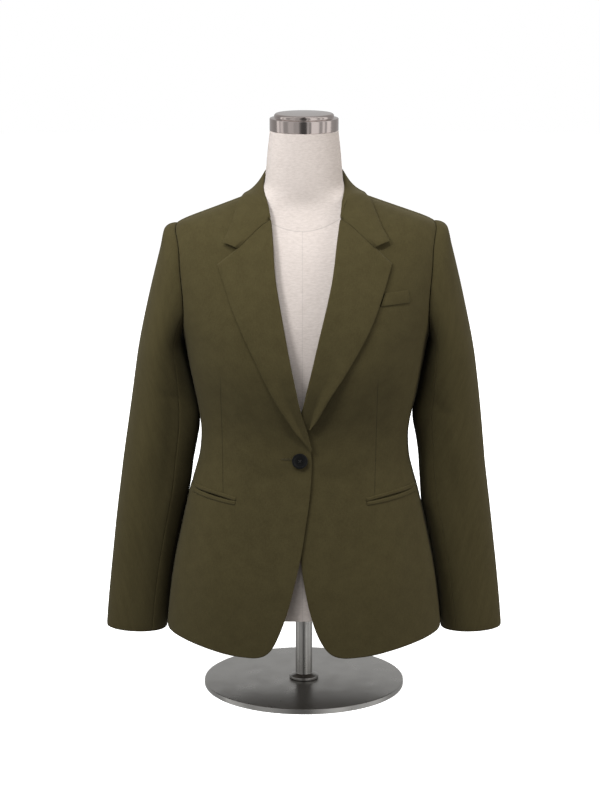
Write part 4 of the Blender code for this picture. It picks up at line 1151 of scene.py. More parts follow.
# Soft folds of the back: distance out, height, lean, half length, half width, height.
BACK_FOLDS = (
    (0.090, 0.560, 80, 0.080, 0.040, 0.0020),
    (0.045, 0.360, 84, 0.070, 0.020, -0.0016),
    (0.100, 0.330, 12, 0.060, 0.012, -0.0012),
    (0.085, 0.300, -10, 0.055, 0.010, -0.0010),
    (0.140, 0.110, 84, 0.070, 0.024, 0.0020),
    (0.060, 0.120, 96, 0.075, 0.022, -0.0014),
)


def back_creases(points):
    """How far the soft folds stand out of the back at its points."""
    return creases(np.abs(points[..., 0]), points[..., 2], BACK_FOLDS)


for side, name in ((1, "left"), (-1, "right")):
    grid = side_back_grid(side, marks(84, 0.44), marks(26, 0.09))
    flat_points, _ = on_body(grid[..., 0], grid[..., 1])
    points, ways = on_body(grid[..., 0], grid[..., 1], back_creases(flat_points))
    cloth(
        name + "_side_back", "side_back_" + name, points, ways, (1, 1, 0, 1),
        allowances=(0, 1),
    )
    low_rows = marks(80, 0.42)[:86] * SPLIT
    low_rows = low_rows[low_rows < SPLIT - 0.002]
    high_rows = SPLIT + (1 - SPLIT) * (1 - (1 - np.linspace(0, 1, 62)) ** 2)
    grid = back_grid(side, np.concatenate([low_rows, high_rows]), marks(60, 0.17))
    flat_points, _ = on_body(grid[..., 0], grid[..., 1])
    points, ways = on_body(grid[..., 0], grid[..., 1], back_creases(flat_points))
    cloth(
        name + "_back", "back_" + name, points, ways, (1, 1, 0, 1),
        allowances=(1, 3) if side > 0 else (3,),
    )


# --- lapels ----------------------------------------------------------------------------------
# Each lapel is the front's own facing, turned out along a soft roll from the button to the
# neck and pressed flat above. Its edge is bagged out and pressed thin.

# Lapel edge from the break to the point: height, distance out from the centre front on
# the wearer's right, and on the wearer's left.
LAPEL_EDGE = (
    (0.3222, -0.0132, -0.0132),
    (0.3411, 0.0022, 0.0030),
    (0.3697, 0.0191, 0.0236),
    (0.3977, 0.0355, 0.0370),
    (0.4354, 0.0555, 0.0608),
    (0.4775, 0.0755, 0.0848),
    (0.5050, 0.0890, 0.0980),
    (0.5460, 0.1068, 0.1125),
    (0.5885, 0.1234, 0.1253),
)
# The gorge seam and, beyond NOTCH_SHARE, the lapel's free top edge: share along it, distance
# out, height.
NOTCH_SHARE = 0.64
GORGE = (
    (0.00, 0.0512, 0.6482),
    (0.14, 0.0605, 0.6437),
    (0.33, 0.0745, 0.6320),
    (0.64, 0.0980, 0.6108),
    (1.00, 0.1243, 0.5885),
)
LAPEL_LIFT = 0.0034
ROLL_RADIUS = 0.0026
ROLL_COLS = 16
LAPEL_FOOT = 0.3224
UNDER_LAPEL_FOOT = 0.3530
GORGE_GAP = 0.0002
# The rows of the front's edge that the roll line follows.
ROLL_ROWS = FRONT_EDGE[11:20]
gorge_out, gorge_height = columns(GORGE)


def lapel_edge(side, z):
    """How far out the lapel's edge is at a height."""
    rows = np.array(LAPEL_EDGE)
    return through(rows[:, 0], rows[:, 2 if side > 0 else 1])(z)


def roll_x(side, z):
    """Where the roll line stands at a height."""
    rows = np.array(ROLL_ROWS)
    return centre_front(z) - side * through(rows[:, 3], rows[:, 2 if side > 0 else 1])(z)


def lapel_grid(side, rows, cols):
    """(angle, height) over a lapel from its roll line to its edge."""
    foot = LAPEL_FOOT if side < 0 else UNDER_LAPEL_FOOT
    roll_top = gorge_height(0.0) - GORGE_GAP
    tip = LAPEL_EDGE[-1][0]

    def left(v):
        z = foot + (roll_top - foot) * v
        x = roll_x(side, z)
        if side > 0:
            # The under lapel stops at the over front's roll line where it goes beneath it.
            x = np.maximum(x, roll_x(-1, z) + 0.0026)
        return paired(angle_at(x, z), z)

    def right(v):
        z = foot + 0.0012 + (tip - foot - 0.0012) * v
        out = lapel_edge(side, z)
        x = centre_front(z) + side * out
        if side > 0:
            x = np.maximum(x, roll_x(-1, z) + 0.0062)
        return paired(angle_at(x, z), z)

    def bottom(u):
        a, b = left(np.array([0.0]))[0], right(np.array([0.0]))[0]
        return a + (b - a) * u[:, None]

    def top(u):
        z = gorge_height(u) - GORGE_GAP
        point = centre_front(tip) + side * lapel_edge(side, tip)
        to_point = point - side * gorge_out(1.0)
        x = side * gorge_out(u) + to_point * smooth(NOTCH_SHARE, 1.0, u)
        return paired(angle_at(x, z), z)

    return patch(left, right, bottom, top, rows, cols)


def lapel_points(side, rows, cols, turns):
    """The lapel's upper face: a small roll at the fold, then flat over the front."""
    grid = lapel_grid(side, rows, cols)
    flat, normals = on_front(side, grid[..., 0], grid[..., 1])
    across = flat - flat[:, :1]
    away = np.linalg.norm(across, axis=-1)
    width = away[:, -1]
    size = np.clip(width / 0.030, 0.60, 1.0)
    radius = ROLL_RADIUS * size
    ridge = (radius + 0.0012 * size)[:, None]
    rise = LAPEL_LIFT * np.clip(width / 0.012, 0.9, 1.0)[:, None]
    fall = np.exp(-((away / 0.012) ** 2))
    lift = rise + np.maximum(ridge - rise, 0) * fall
    face = flat + normals * lift[..., None]
    out = unit(across[:, 4])
    normal = normals[:, 0]
    # The over lapel's foot, and the under lapel where it passes beneath the over front,
    # lie flat with no fold.
    height = flat[:, 0, 2]
    own = np.abs(flat[:, 0, 0] - roll_x(side, height))
    tucked = smooth(0.0004, 0.0030, own) if side > 0 else 1 - smooth(0.326, 0.346, height)
    tucked = tucked[:, None]
    face = face - normals * (np.maximum(ridge - rise, 0) * fall * tucked)[..., None]
    curl, curl_out = [], []
    for step, angle in enumerate(np.radians(np.linspace(212, 92, turns))):
        way = np.cos(angle) * out + np.sin(angle) * normal
        centre = flat[:, 0] + normal * (0.0012 * size)[:, None] + out * 0.0003
        folded = centre + way * radius[:, None]
        level = flat[:, 0] + normal * rise + out * (0.0016 * (step - turns) / turns)
        curl.append(folded + (level - folded) * tucked)
        curl_out.append(unit(way + (normal - way) * tucked))
    columns_made = curl + [face[:, k] for k in range(1, len(cols))]
    ways = curl_out + [normals[:, k] for k in range(1, len(cols))]
    return np.stack(columns_made, 1), np.stack(ways, 1)


GORGE_DIP = (0.00022, 0.0005, 0.00004, 0.0030)
for side, name in ((1, "left"), (-1, "right")):
    near_edge = np.array([0.035, 0.022, 0.012, 0.005, 0.0])
    lapel_cols = np.concatenate([np.linspace(0, 1, 44)[:-2], 1 - near_edge])
    points, ways = lapel_points(side, marks(120, 0.33), lapel_cols, ROLL_COLS)
    # Low down the lapel springs out from the front; higher up it lies pressed to it.
    spring, spring_at = (0.0046, 0.392) if side > 0 else (0.0032, 0.372)
    height = points[..., 2]
    stands = 0.0017 + spring * np.exp(-(((height - spring_at) / 0.040) ** 2))
    out_share = np.concatenate([np.zeros(ROLL_COLS), lapel_cols[1:]])
    stands = stands * smooth(0.50, 1.0, out_share)[None] * smooth(0.328, 0.352, height)
    points = points + ways * stands[..., None]
    sewn_top = 1 - smooth(0.60, 0.66, out_share)
    cloth(
        name + "_lapel", "lapel_" + name, points, ways, (None, 0, None, sewn_top),
        thick=0.0021,
        allowances=(3,), seam_dip=GORGE_DIP, allowance=((0.0004, 0.0004), (0.0025, 0.0010)),
    )


# --- collar ----------------------------------------------------------------------------------
# One piece of the same cloth, folded over round the neck: the stand rises from the neck seam
# inside, and the fall lies on the shoulders to the notch.

# The collar from the centre back (share 0) to its end: the neck seam x y z, then the
# inner side of the fold x y z, and the fold's radius.
COLLAR_FOLD = (
    (0.00, 0.0000, 0.0550, 0.6847, 0.0000, 0.0565, 0.7200, 0.0026),
    (0.12, 0.0360, 0.0495, 0.6847, 0.0290, 0.0520, 0.7190, 0.0026),
    (0.23, 0.0595, 0.0310, 0.6847, 0.0470, 0.0380, 0.7145, 0.0026),
    (0.34, 0.0680, 0.0040, 0.6852, 0.0566, 0.0160, 0.7035, 0.0026),
    (0.44, 0.0655, -0.0215, 0.6805, 0.0584, -0.0100, 0.6890, 0.0024),
    (0.53, 0.0578, -0.0405, 0.6690, 0.0528, -0.0375, 0.6720, 0.0018),
    (0.62, 0.0512, -0.0574, 0.6492, 0.0500, -0.0576, 0.6496, 0.0019),
)
# The collar's outer edge: share, distance out, height. It crosses the shoulder seam at
# EDGE_OVER_SHOULDER, from the back to the front.
COLLAR_EDGE = (
    (0.00, 0.0000, 0.6680),
    (0.12, 0.0340, 0.6672),
    (0.23, 0.0610, 0.6685),
    (0.34, 0.0795, 0.6735),
    (0.44, 0.0895, 0.6766),
    (0.53, 0.0950, 0.6712),
    (0.62, 0.0985, 0.6635),
    (0.70, 0.1021, 0.6555),
    (0.80, 0.1072, 0.6435),
    (0.90, 0.1131, 0.6310),
    (1.00, 0.1192, 0.6184),
)
EDGE_OVER_SHOULDER = 0.44
GORGE_START = 0.62
COLLAR_LIFT = 0.0036
FALL_ARCH = 0.0072
NOTCH_SPRING = 0.0032
edge_line, fold_line = columns(COLLAR_EDGE), columns(COLLAR_FOLD)


def collar_path(share):
    """Points across the collar at a share from the centre back, neck seam to outer edge."""
    out_x, z = (line(share) for line in edge_line)
    angle = angle_at(out_x, z)
    if share < EDGE_OVER_SHOULDER:
        angle = 180.0 - angle
    end = on_body(angle, z, COLLAR_LIFT)[0]
    if share >= GORGE_START:
        u = (share - GORGE_START) / (1 - GORGE_START) * NOTCH_SHARE
        start_z = gorge_height(u) + GORGE_GAP
        start_angle = angle_at(gorge_out(u) + 0.0004, start_z)
        t = np.linspace(0, 1, 60)
        a = start_angle + (angle - start_angle) * t
        return on_body(a, start_z + (z - start_z) * t, COLLAR_LIFT)[0]
    neck = np.array([line(share) for line in fold_line[:3]])
    fold = np.array([line(share) for line in fold_line[3:6]])
    radius = fold_line[6](share)
    out = unit(np.array([fold[0], fold[1] - 0.002, 0.0]))
    up = np.array([0.0, 0.0, 1.0])
    path = [neck + (fold - neck) * t for t in np.linspace(0, 1, 12)[:-1]]
    centre = fold + out * radius
    for turn in np.radians(np.linspace(0, 140, 14)):
        path.append(centre - out * radius * np.cos(turn) + up * radius * np.sin(turn))
    last = path[-1]
    for t in np.linspace(0, 1, 36)[1:]:
        path.append(last + (end - last) * t)
    return np.array(path)


def collar_points(shares):
    """The collar's upper face over the left half, centre back (row 0) to its end."""
    made = []
    for share in shares:
        path = collar_path(share)
        if share < GORGE_START:
            for _round in range(4):
                away, normal = outward(path, np.where(path[:, 1] < 0, -1.0, 1.0))
                need = np.clip(COLLAR_LIFT - away, 0, 0.02)
                need = need * (path[:, 2] < 0.6835) * smooth(24, 34, np.arange(len(path)))
                path = path + normal * need[:, None]
        length = np.concatenate([[0], np.cumsum(np.linalg.norm(np.diff(path, axis=0), axis=1))])
        stand, fold = (length[11], length[24]) if share < GORGE_START else (0.0013, 0.0033)
        fall = fold + (length[-1] - fold) * (1 - np.linspace(1, 0, 34) ** 1.6)
        rise, turn = np.linspace(0, stand, 10), np.linspace(stand, fold, 16)
        mark = np.concatenate([rise[:-1], turn[:-1], fall])
        made.append(np.stack([np.interp(mark, length, path[:, a]) for a in range(3)], -1))
    made = np.array(made)
    return even(made.reshape(len(shares), -1), 1.5).reshape(made.shape)


half_shares = np.concatenate([np.linspace(0, 0.993, 100), [0.9955, 0.9975, 0.999, 1.0]])
half = collar_points(half_shares)
mirrored = half[:0:-1] * np.array([-1.0, 1.0, 1.0])
whole = np.concatenate([mirrored, half])
ways = unit(np.cross(np.gradient(whole, axis=0), np.gradient(whole, axis=1)))
if ways[len(whole) // 2, -2, 1] < 0:
    ways = -ways
whole_shares = np.concatenate([half_shares[:0:-1], half_shares])[:, None]
# The fall is softly arched over the front, and springs off the cloth below at the notch.
fall_share = lengths(whole, 1)
fall_share = fall_share / fall_share[:, -1:]
off = FALL_ARCH * fall_share * (1 - fall_share) * smooth(0.58, 0.68, whole_shares)
off = off + NOTCH_SPRING * smooth(0.86, 1.0, whole_shares) * smooth(0.0, 0.16, fall_share)
whole = whole + ways * off[..., None]
gorge_seam = smooth(0.58, 0.64, whole_shares)
cloth(
    "folded_collar", "collar", whole, ways, (gorge_seam, 0, 0, 0),
    thick=0.0021, seam_dip=GORGE_DIP,
)


# --- sleeves ---------------------------------------------------------------------------------
# Two-piece set-in sleeves: a wide top sleeve and a narrow under sleeve, joined by a front and
# a hind seam. The head is eased into the armhole and stands a little proud of it.

# The sleeve below its head: height, centre x, half width, centre y, half depth, and how
# far its inner side reaches in behind the body.
SLEEVE = (
    (0.0235, 0.2528, 0.0450, 0.0080, 0.0360, 0.0026),
    (0.0700, 0.2488, 0.0451, 0.0100, 0.0385, 0.0026),
    (0.1300, 0.2416, 0.0461, 0.0120, 0.0415, 0.0026),
    (0.2200, 0.2275, 0.0503, 0.0120, 0.0460, 0.0022),
    (0.2450, 0.2227, 0.0515, 0.0115, 0.0475, 0.0000),
    (0.2680, 0.2206, 0.0506, 0.0110, 0.0490, 0.0000),
    (0.2950, 0.2179, 0.0501, 0.0100, 0.0510, 0.0000),
    (0.3350, 0.2149, 0.0481, 0.0090, 0.0530, 0.0000),
    (0.3720, 0.2120, 0.0465, 0.0080, 0.0550, 0.0000),
    (0.3950, 0.2111, 0.0443, 0.0070, 0.0570, 0.0020),
    (0.4200, 0.2112, 0.0407, 0.0060, 0.0590, 0.0040),
    (0.4550, 0.2126, 0.0352, 0.0040, 0.0610, 0.0030),
)
TUCK_TURN = 202.0
TUCK_SPREAD = 24.0
# How the sleeve head leaves the armhole over its front half: turn, direction (three), first
# reach, last reach, lean. The hind half is the same, turned round.
HEAD = (
    (0.0, 1.00, 0.00, 0.22, 0.0195, 0.1200, -0.22),
    (45.0, 0.92, -0.28, -0.07, 0.0195, 0.0850, -0.19),
    (90.0, 0.75, -0.38, -0.50, 0.0165, 0.0400, -0.11),
    (135.0, 0.65, -0.20, -0.75, 0.0080, 0.0120, -0.03),
    (180.0, 0.60, 0.00, -0.80, 0.0040, 0.0040, 0.00),
)
HEAD = HEAD + tuple((360.0 - turn, out, -ahead, *rest) for turn, out, ahead, *rest in HEAD[-2::-1])
FRONT_SLEEVE_SEAM = 124.0
HIND_SLEEVE_SEAM = 250.0
SLEEVE_GAP = 0.18
sleeve_x, sleeve_width, sleeve_y, sleeve_depth, sleeve_tuck = columns(SLEEVE)


def sleeve_points(side, turns, marks):
    """A sleeve's outer face at turns round it, marks 0 to 1 over the head, 1 to 2 below."""
    head_lines = columns(HEAD)
    turn, mark = np.meshgrid(turns, marks)
    rad = np.radians(turn)
    ring_z = SLEEVE[-1][0]

    def ring(z):
        tuck = sleeve_tuck(z) * np.exp(-(((turn - TUCK_TURN) / TUCK_SPREAD) ** 2))
        x = sleeve_x(z) + sleeve_width(z) * np.cos(rad) - tuck
        y = sleeve_y(z) - sleeve_depth(z) * np.sin(rad)
        slant = 0.002 * np.cos(rad) * (1 - z / ring_z)
        return np.stack([x, y, z + slant], -1)

    way = unit(np.stack([line(turn) for line in head_lines[:3]], -1))
    first, last, lean = (line(turn) for line in head_lines[3:])
    start = on_body(armhole_angle(turn), armhole_height(turn))[0] + way * 0.0005
    one = start + way * first[..., None]
    end = ring(np.full_like(turn, ring_z))
    two = end + np.stack([lean, 0 * lean, 1 + 0 * lean], -1) * last[..., None]
    t = np.clip(mark, 0, 1)[..., None]
    head = (1 - t) ** 3 * start + 3 * (1 - t) ** 2 * t * one
    head = head + 3 * (1 - t) * t * t * two + t**3 * end
    low = np.clip(mark - 1, 0, 1)
    arm = ring(ring_z + (SLEEVE[0][0] - ring_z) * low)
    points = np.where((mark <= 1)[..., None], head, arm)
    return points * np.array([side, 1.0, 1.0])


# Folds of the sleeves, hand by hand: turn round the arm, height, lean, half length, half
# width in metres, height. Turn 0 is the outside, 90 the front and 180 the side to the body.
SLEEVE_FOLDS = {
    1: (
        (100, 0.300, 86, 0.130, 0.011, -0.0016),
        (60, 0.330, 93, 0.130, 0.014, 0.0014),
        (130, 0.190, 84, 0.090, 0.010, 0.0012),
        (20, 0.240, 88, 0.100, 0.014, -0.0010),
        (112, 0.372, 35, 0.022, 0.008, -0.0012),
        (85, 0.120, 96, 0.060, 0.012, -0.0008),
        (250, 0.290, 20, 0.030, 0.010, -0.0020),
        (235, 0.320, 12, 0.030, 0.010, -0.0018),
        (275, 0.250, -16, 0.032, 0.011, -0.0016),
        (305, 0.420, 82, 0.070, 0.015, -0.0012),
    ),
    -1: (
        (108, 0.330, 92, 0.110, 0.011, -0.0014),
        (66, 0.280, 87, 0.140, 0.015, 0.0013),
        (128, 0.170, 94, 0.090, 0.010, 0.0010),
        (24, 0.270, 92, 0.110, 0.014, -0.0009),
        (104, 0.388, -30, 0.022, 0.008, -0.0010),
        (82, 0.100, 84, 0.060, 0.012, -0.0007),
        (246, 0.300, -18, 0.030, 0.010, -0.0020),
        (262, 0.268, 14, 0.032, 0.010, -0.0017),
        (236, 0.236, 10, 0.030, 0.010, -0.0014),
        (300, 0.410, 96, 0.070, 0.015, -0.0012),
    ),
}
ARM_RADIUS = 0.047
SLEEVE_MARKS = np.concatenate([
    [0.0, 0.003, 0.0065, 0.011, 0.017, 0.026],
    np.linspace(0.038, 1, 52)[:-1],
    np.linspace(1, 1.975, 110),
    1.975 + 0.025 * np.array([0.25, 0.48, 0.68, 0.84, 0.93, 1.0]),
])
# Each piece of a sleeve: name, node, first and last turn, columns between them, flat size and
# area.
SLEEVE_PARTS = (
    (
        "top_sleeve", "sleeve_top", HIND_SLEEVE_SEAM - 360 + SLEEVE_GAP,
        FRONT_SLEEVE_SEAM - SLEEVE_GAP, 108, (0.26, 0.66), 0.125,
    ),
    (
        "under_sleeve", "sleeve_under", FRONT_SLEEVE_SEAM + SLEEVE_GAP,
        HIND_SLEEVE_SEAM - SLEEVE_GAP, 50, (0.13, 0.48), 0.052,
    ),
)
# The inside of the sleeve nearly touches the skirt's side and bulges towards the waist:
# height, how far it is brought in beside the skirt, and then above it, hand by hand.
BESIDE_SKIRT = (
    (0.030, 0.0), (0.040, 0.0001), (0.055, 0.0004), (0.089, 0.0008), (0.117, 0.0009),
    (0.149, 0.00125), (0.175, 0.0017), (0.208, 0.0018),
)
BESIDE_WAIST = {
    1: (
        (0.225, 0.0008), (0.2515, -0.0012), (0.282, -0.0016), (0.312, 0.0012), (0.327, 0.0040),
        (0.342, 0.0070), (0.354, 0.0078), (0.366, 0.0056), (0.380, 0.0024), (0.392, 0.0004),
        (0.405, -0.0008), (0.445, -0.0010), (0.470, -0.0004), (0.490, 0.0),
    ),
    -1: (
        (0.225, 0.0022), (0.2515, 0.0034), (0.282, 0.0047), (0.297, 0.0064), (0.312, 0.0082),
        (0.336, 0.0108), (0.350, 0.0103), (0.366, 0.0072), (0.380, 0.0040), (0.392, 0.0019),
        (0.405, -0.0003), (0.420, -0.0009), (0.445, -0.0013), (0.470, -0.0006), (0.490, 0.0),
    ),
}
brought_in = {side: columns(BESIDE_SKIRT + rows)[0] for side, rows in BESIDE_WAIST.items()}
HEAD_ROPE = 0.0058


def full_sleeve(side, turns):
    """The sleeve with its eased, slightly roped head, and its bends evened out."""
    points = sleeve_points(side, turns, SLEEVE_MARKS)
    beyond = np.minimum(turns, 360.0 - turns)[None, :]
    mark = SLEEVE_MARKS[:, None]
    rope = HEAD_ROPE * np.exp(-(((mark - 0.21) / 0.15) ** 2)) * smooth(0.0, 0.12, mark)
    points[..., 0] = points[..., 0] + side * rope * np.exp(-((beyond / 48.0) ** 2))
    evened = even(points.reshape(len(points), -1), 5).reshape(points.shape)
    share = smooth(0.20, 0.60, mark) * (1 - smooth(1.80, 1.93, mark))
    points = points + (evened - points) * share[..., None]
    nearer = brought_in[side](np.clip(points[..., 2], 0.030, 0.490))
    inside = smooth(72.0, 24.0, np.abs(np.mod(turns, 360.0) - 180.0))[None, :]
    points[..., 0] = points[..., 0] - side * nearer * inside
    return points


for side, hand in ((1, "left"), (-1, "right")):
    for piece, node, begin, finish, count, flat, area in SLEEVE_PARTS:
        near = np.array([0.0, 0.7, 1.5, 2.6, 4.2, 6.5])
        middle = np.linspace(begin + 9, finish - 9, count)
        turns = np.concatenate([begin + near, middle, finish - near[::-1]])
        points = full_sleeve(side, np.mod(turns, 360.0))
        beside = full_sleeve(side, np.mod(turns + 0.3, 360.0))
        down = np.gradient(points, axis=0)
        ways = unit(np.cross(down, beside - points)) * side
        mid = points[:, count // 2]
        axis = np.stack([side * sleeve_x(mid[-3:, 2]), sleeve_y(mid[-3:, 2]), mid[-3:, 2]], -1)
        if np.sum((mid[-3:] - axis) * ways[-3:, count // 2]) < 0:
            ways = -ways
        lift = np.zeros(points.shape[:2])
        for turn, height, *fold in SLEEVE_FOLDS[side]:
            gone = (np.mod(turns - turn + 180.0, 360.0) - 180.0)[None, :]
            round_arm = np.radians(gone) * ARM_RADIUS
            lift = lift + creases(round_arm, points[..., 2], ((0.0, height, *fold),))
        lift = lift * smooth(0.05, 0.30, SLEEVE_MARKS)[:, None]
        points = points + ways * lift[..., None]
        cloth(
            hand + "_" + piece, node + "_" + hand, points, ways, (1, 1, 1, 0),
            allowances=(2,) if piece == "top_sleeve" else (0, 1, 2),
            seam_dip=FLAT_SEAM_DIP,
        )


# --- hip pocket welts ------------------------------------------------------------------------
# Each hip pocket is a slit bound by two narrow folded strips, an upper and a lower one,
# pressed to meet at the slit.
hip_top, hip_slit, hip_foot = columns(HIP_POCKET)

WELT_LIFT = 0.0006 + 0.0011
# Share of painted shade that darkens the cloth along the welts' edges.
EDGE_SHADE = 0.7


def strip(name, node, side, angle_low, angle_high, z_low, z_high, crown, stands=0.0):
    """A narrow folded strip between two lines on a front, sewn down round its edge, with painted
    shade darkening it along that edge.
    """
    share = marks(14, 0.012 if crown else 0.02)[:, None]
    angle = angle_low + (angle_high - angle_low) * share
    z = z_low + (z_high - z_low) * share
    lift = WELT_LIFT - 0.0003 + stands + crown * 4 * share * (1 - share)
    points, ways = on_front(side, angle, z, lift)
    across, along = lengths(points, 1), lengths(points, 0)
    to_edge = np.minimum.reduce([across, across[:, -1:] - across, along, along[-1:] - along])
    cloth(
        name, node, points, ways, (0, 0, 0, 0), thick=0.0010 + stands,
        sewn_at=to_edge, shade_share=np.full(to_edge.shape, EDGE_SHADE),
    )


HIP_OUT = np.concatenate([
    [0.0955, 0.0958, 0.0963, 0.0970, 0.0985], np.linspace(0.100, 0.159, 40),
    [0.1605, 0.1618, 0.1625, 0.1630],
])
SLIT_HALF_OPEN = 0.0011
middle_share = np.clip((HIP_OUT - 0.0965) / 0.0640, 0, 1)
slit_open = SLIT_HALF_OPEN * np.sin(np.pi * middle_share) ** 0.8 + 0.0001
for side, hand in ((1, "left"), (-1, "right")):
    slit = hip_slit(HIP_OUT)
    around = angle_at(side * HIP_OUT + centre_front(slit) * (0.163 - HIP_OUT) / 0.068, slit)
    for part, low, high in (
        ("upper", slit + slit_open, hip_top(HIP_OUT)),
        ("lower", hip_foot(HIP_OUT), slit - slit_open),
    ):
        strip(
            f"{hand}_{part}_welt", f"hip_welt_{part}_{hand}", side, around, around,
            low, high, 0.0004, -0.0005,
        )


# --- breast welt -----------------------------------------------------------------------------
# A single slanted welt on the wearer's left breast, cut on the straight grain and stitched
# down at its ends.

# Breast welt: distance out at its foot and its top, height of its foot and its top.
BREAST_WELT = (
    (0.1100, 0.1158, 0.5318, 0.5503),
    (0.1320, 0.1330, 0.5330, 0.5516),
    (0.1532, 0.1505, 0.5341, 0.5530),
)

low_out, high_out, low_z, high_z = (
    through((0.0, 0.5, 1.0), line)(marks(40, 0.045)) for line in zip(*BREAST_WELT)
)
low_angle = angle_at(centre_front(low_z) + low_out, low_z)
high_angle = angle_at(centre_front(high_z) + high_out, high_z)
strip(
    "breast_pocket_welt", "breast_welt", 1, low_angle, high_angle, low_z, high_z,
    0.0, 0.0007,
)


# --- button ----------------------------------------------------------------------------------
# One four-hole button of black polyester resin, lathe-turned with a raised rim and polished,
# sewn on with black thread in two crossing pairs.
BUTTON_Z = 0.3065
BUTTON_RADIUS = 0.0115
BUTTON_THICK = 0.0036
button_x = float(centre_front(BUTTON_Z)) - 0.0012
seat, seat_normal = on_front(-1, angle_at(np.array([button_x]), BUTTON_Z), np.array([BUTTON_Z]))
facing = Vector(seat_normal[0])
button_turn = facing.to_track_quat("Z", "Y")
button_seat = Vector(seat[0]) + facing * 0.0006 + Vector((0, 0, HEM_Z))
# The button's outline from its middle over the rim to its back, as shares of its radius and
# thickness.
BUTTON_RIM = (
    (0.0, 0.66), (0.40, 0.64), (0.60, 0.66), (0.665, 0.70), (0.70, 0.80), (0.735, 0.92),
    (0.79, 0.985), (0.85, 1.0), (0.91, 0.97), (0.955, 0.89), (0.985, 0.76), (1.0, 0.60),
    (0.985, 0.42), (0.93, 0.22), (0.82, 0.06), (0.72, 0.0), (0.0, 0.0),
)
button_rim = [(BUTTON_RADIUS * out, BUTTON_THICK * high) for out, high in BUTTON_RIM]
resin_button = lathed("resin_button", button_rim, 72)
HOLE_OUT = 0.0019
HOLE_RADIUS = 0.00095
drill = bmesh.new()
for hole_x in (-HOLE_OUT, HOLE_OUT):
    for hole_y in (-HOLE_OUT, HOLE_OUT):
        made = bmesh.ops.create_cone(
            drill, segments=24, radius1=HOLE_RADIUS, radius2=HOLE_RADIUS, depth=0.02, cap_ends=True
        )
        bmesh.ops.translate(drill, verts=made["verts"], vec=(hole_x, hole_y, 0.0))
drill_mesh = bpy.data.meshes.new("button_drill")
drill.to_mesh(drill_mesh)
drill.free()
button_drill = new_object("button_drill", drill_mesh)
cut = resin_button.modifiers.new("Holes", "BOOLEAN")
cut.operation = "DIFFERENCE"
cut.solver = "EXACT"
cut.object = button_drill
drilled = worked_out(resin_button)
resin_button.modifiers.clear()
bpy.data.objects.remove(button_drill, do_unlink=True)
resin_button.data = drilled
for vert in drilled.vertices:
    vert.co = button_turn @ vert.co + button_seat
drilled.shade_smooth()
drilled.set_sharp_from_angle(angle=math.radians(40))

# Black polyester resin, tumbled to a gloss, with the faintest wear in the polish.
resin, tree, shader = new_material("black_polyester_resin", {
    "Base Color": linear("#0D0D0D"), "Specular IOR Level": 0.22,
})
place = add_node(tree, "ShaderNodeTexCoord").outputs["Object"]
polish = add_node(tree, "ShaderNodeTexNoise", {"Vector": place}, {"Scale": 700.0, "Detail": 3.0})
polish = add_node(
    tree, "ShaderNodeMapRange", {"Value": polish}, {"To Min": 0.42, "To Max": 0.52}
)
join(shader, {"Roughness": polish})
drilled.materials.clear()
drilled.materials.append(resin)
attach(resin_button, "root")
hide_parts("button")

# Four strands of black thread lie over each pair of holes across the button.
thread, tree, shader = new_material("black_polyester_thread", {
    "Base Color": linear("#22211E"), "Roughness": 0.6,
})
THREAD_RADIUS = 0.00022
THREAD_SIDES = 8
thread_bmesh = bmesh.new()
for pair, (sx, sy) in enumerate(((1, 1), (1, -1))):
    ends = Vector((sx * HOLE_OUT, sy * HOLE_OUT, 0.0))
    beside = Vector((-sy, sx, 0.0)).normalized()
    for strand in (-1.5, -0.5, 0.5, 1.5):
        aside = beside * strand * THREAD_RADIUS * 1.7
        rings = []
        for t in np.linspace(-1, 1, 17).tolist():
            high = BUTTON_THICK * 0.64 + 0.0005 + 0.00032 * pair - 0.0016 * t**6
            centre = ends * t + aside + Vector((0, 0, high))
            rings.append([
                thread_bmesh.verts.new(
                    centre + beside * THREAD_RADIUS * math.cos(angle)
                    + Vector((0, 0, THREAD_RADIUS * math.sin(angle)))
                )
                for angle in (turn * math.tau / THREAD_SIDES for turn in range(THREAD_SIDES))
            ])
        for lower, upper in zip(rings, rings[1:]):
            for turn in range(THREAD_SIDES):
                after = (turn + 1) % THREAD_SIDES
                thread_bmesh.faces.new((lower[turn], lower[after], upper[after], upper[turn]))
        thread_bmesh.faces.new(rings[0][::-1])
        thread_bmesh.faces.new(rings[-1])
bmesh.ops.recalc_face_normals(thread_bmesh, faces=thread_bmesh.faces[:])
for vert in thread_bmesh.verts:
    vert.co = button_turn @ vert.co + button_seat
thread_mesh = bpy.data.meshes.new("button_thread")
thread_bmesh.to_mesh(thread_mesh)
thread_bmesh.free()
thread_mesh.shade_smooth()
thread_mesh.materials.append(thread)
button_thread = new_object("button_thread", thread_mesh)
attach(button_thread, "root")


# --- buttonhole ------------------------------------------------------------------------------
# A worked buttonhole through the wearer's right front: close purl stitches of matching silk
# round a narrow slit, with a cord under them, coloured nearly black as painted shade in the
# slit.

# The buttonhole's two ends, its height, and half its width.
HOLE_FROM, HOLE_TO, HOLE_HEIGHT, HOLE_WIDE = -0.0325, -0.0160, 0.3088, 0.00085
loop_turns = np.linspace(0, 2 * math.pi, 120, endpoint=False)
hole_mid, hole_reach = (HOLE_FROM + HOLE_TO) / 2, (HOLE_TO - HOLE_FROM) / 2


def on_hole(x, z, lift):
    """Points of the right front round the buttonhole."""
    return on_front(-1, angle_at(x, z), z, lift)[0] + HEM_UP


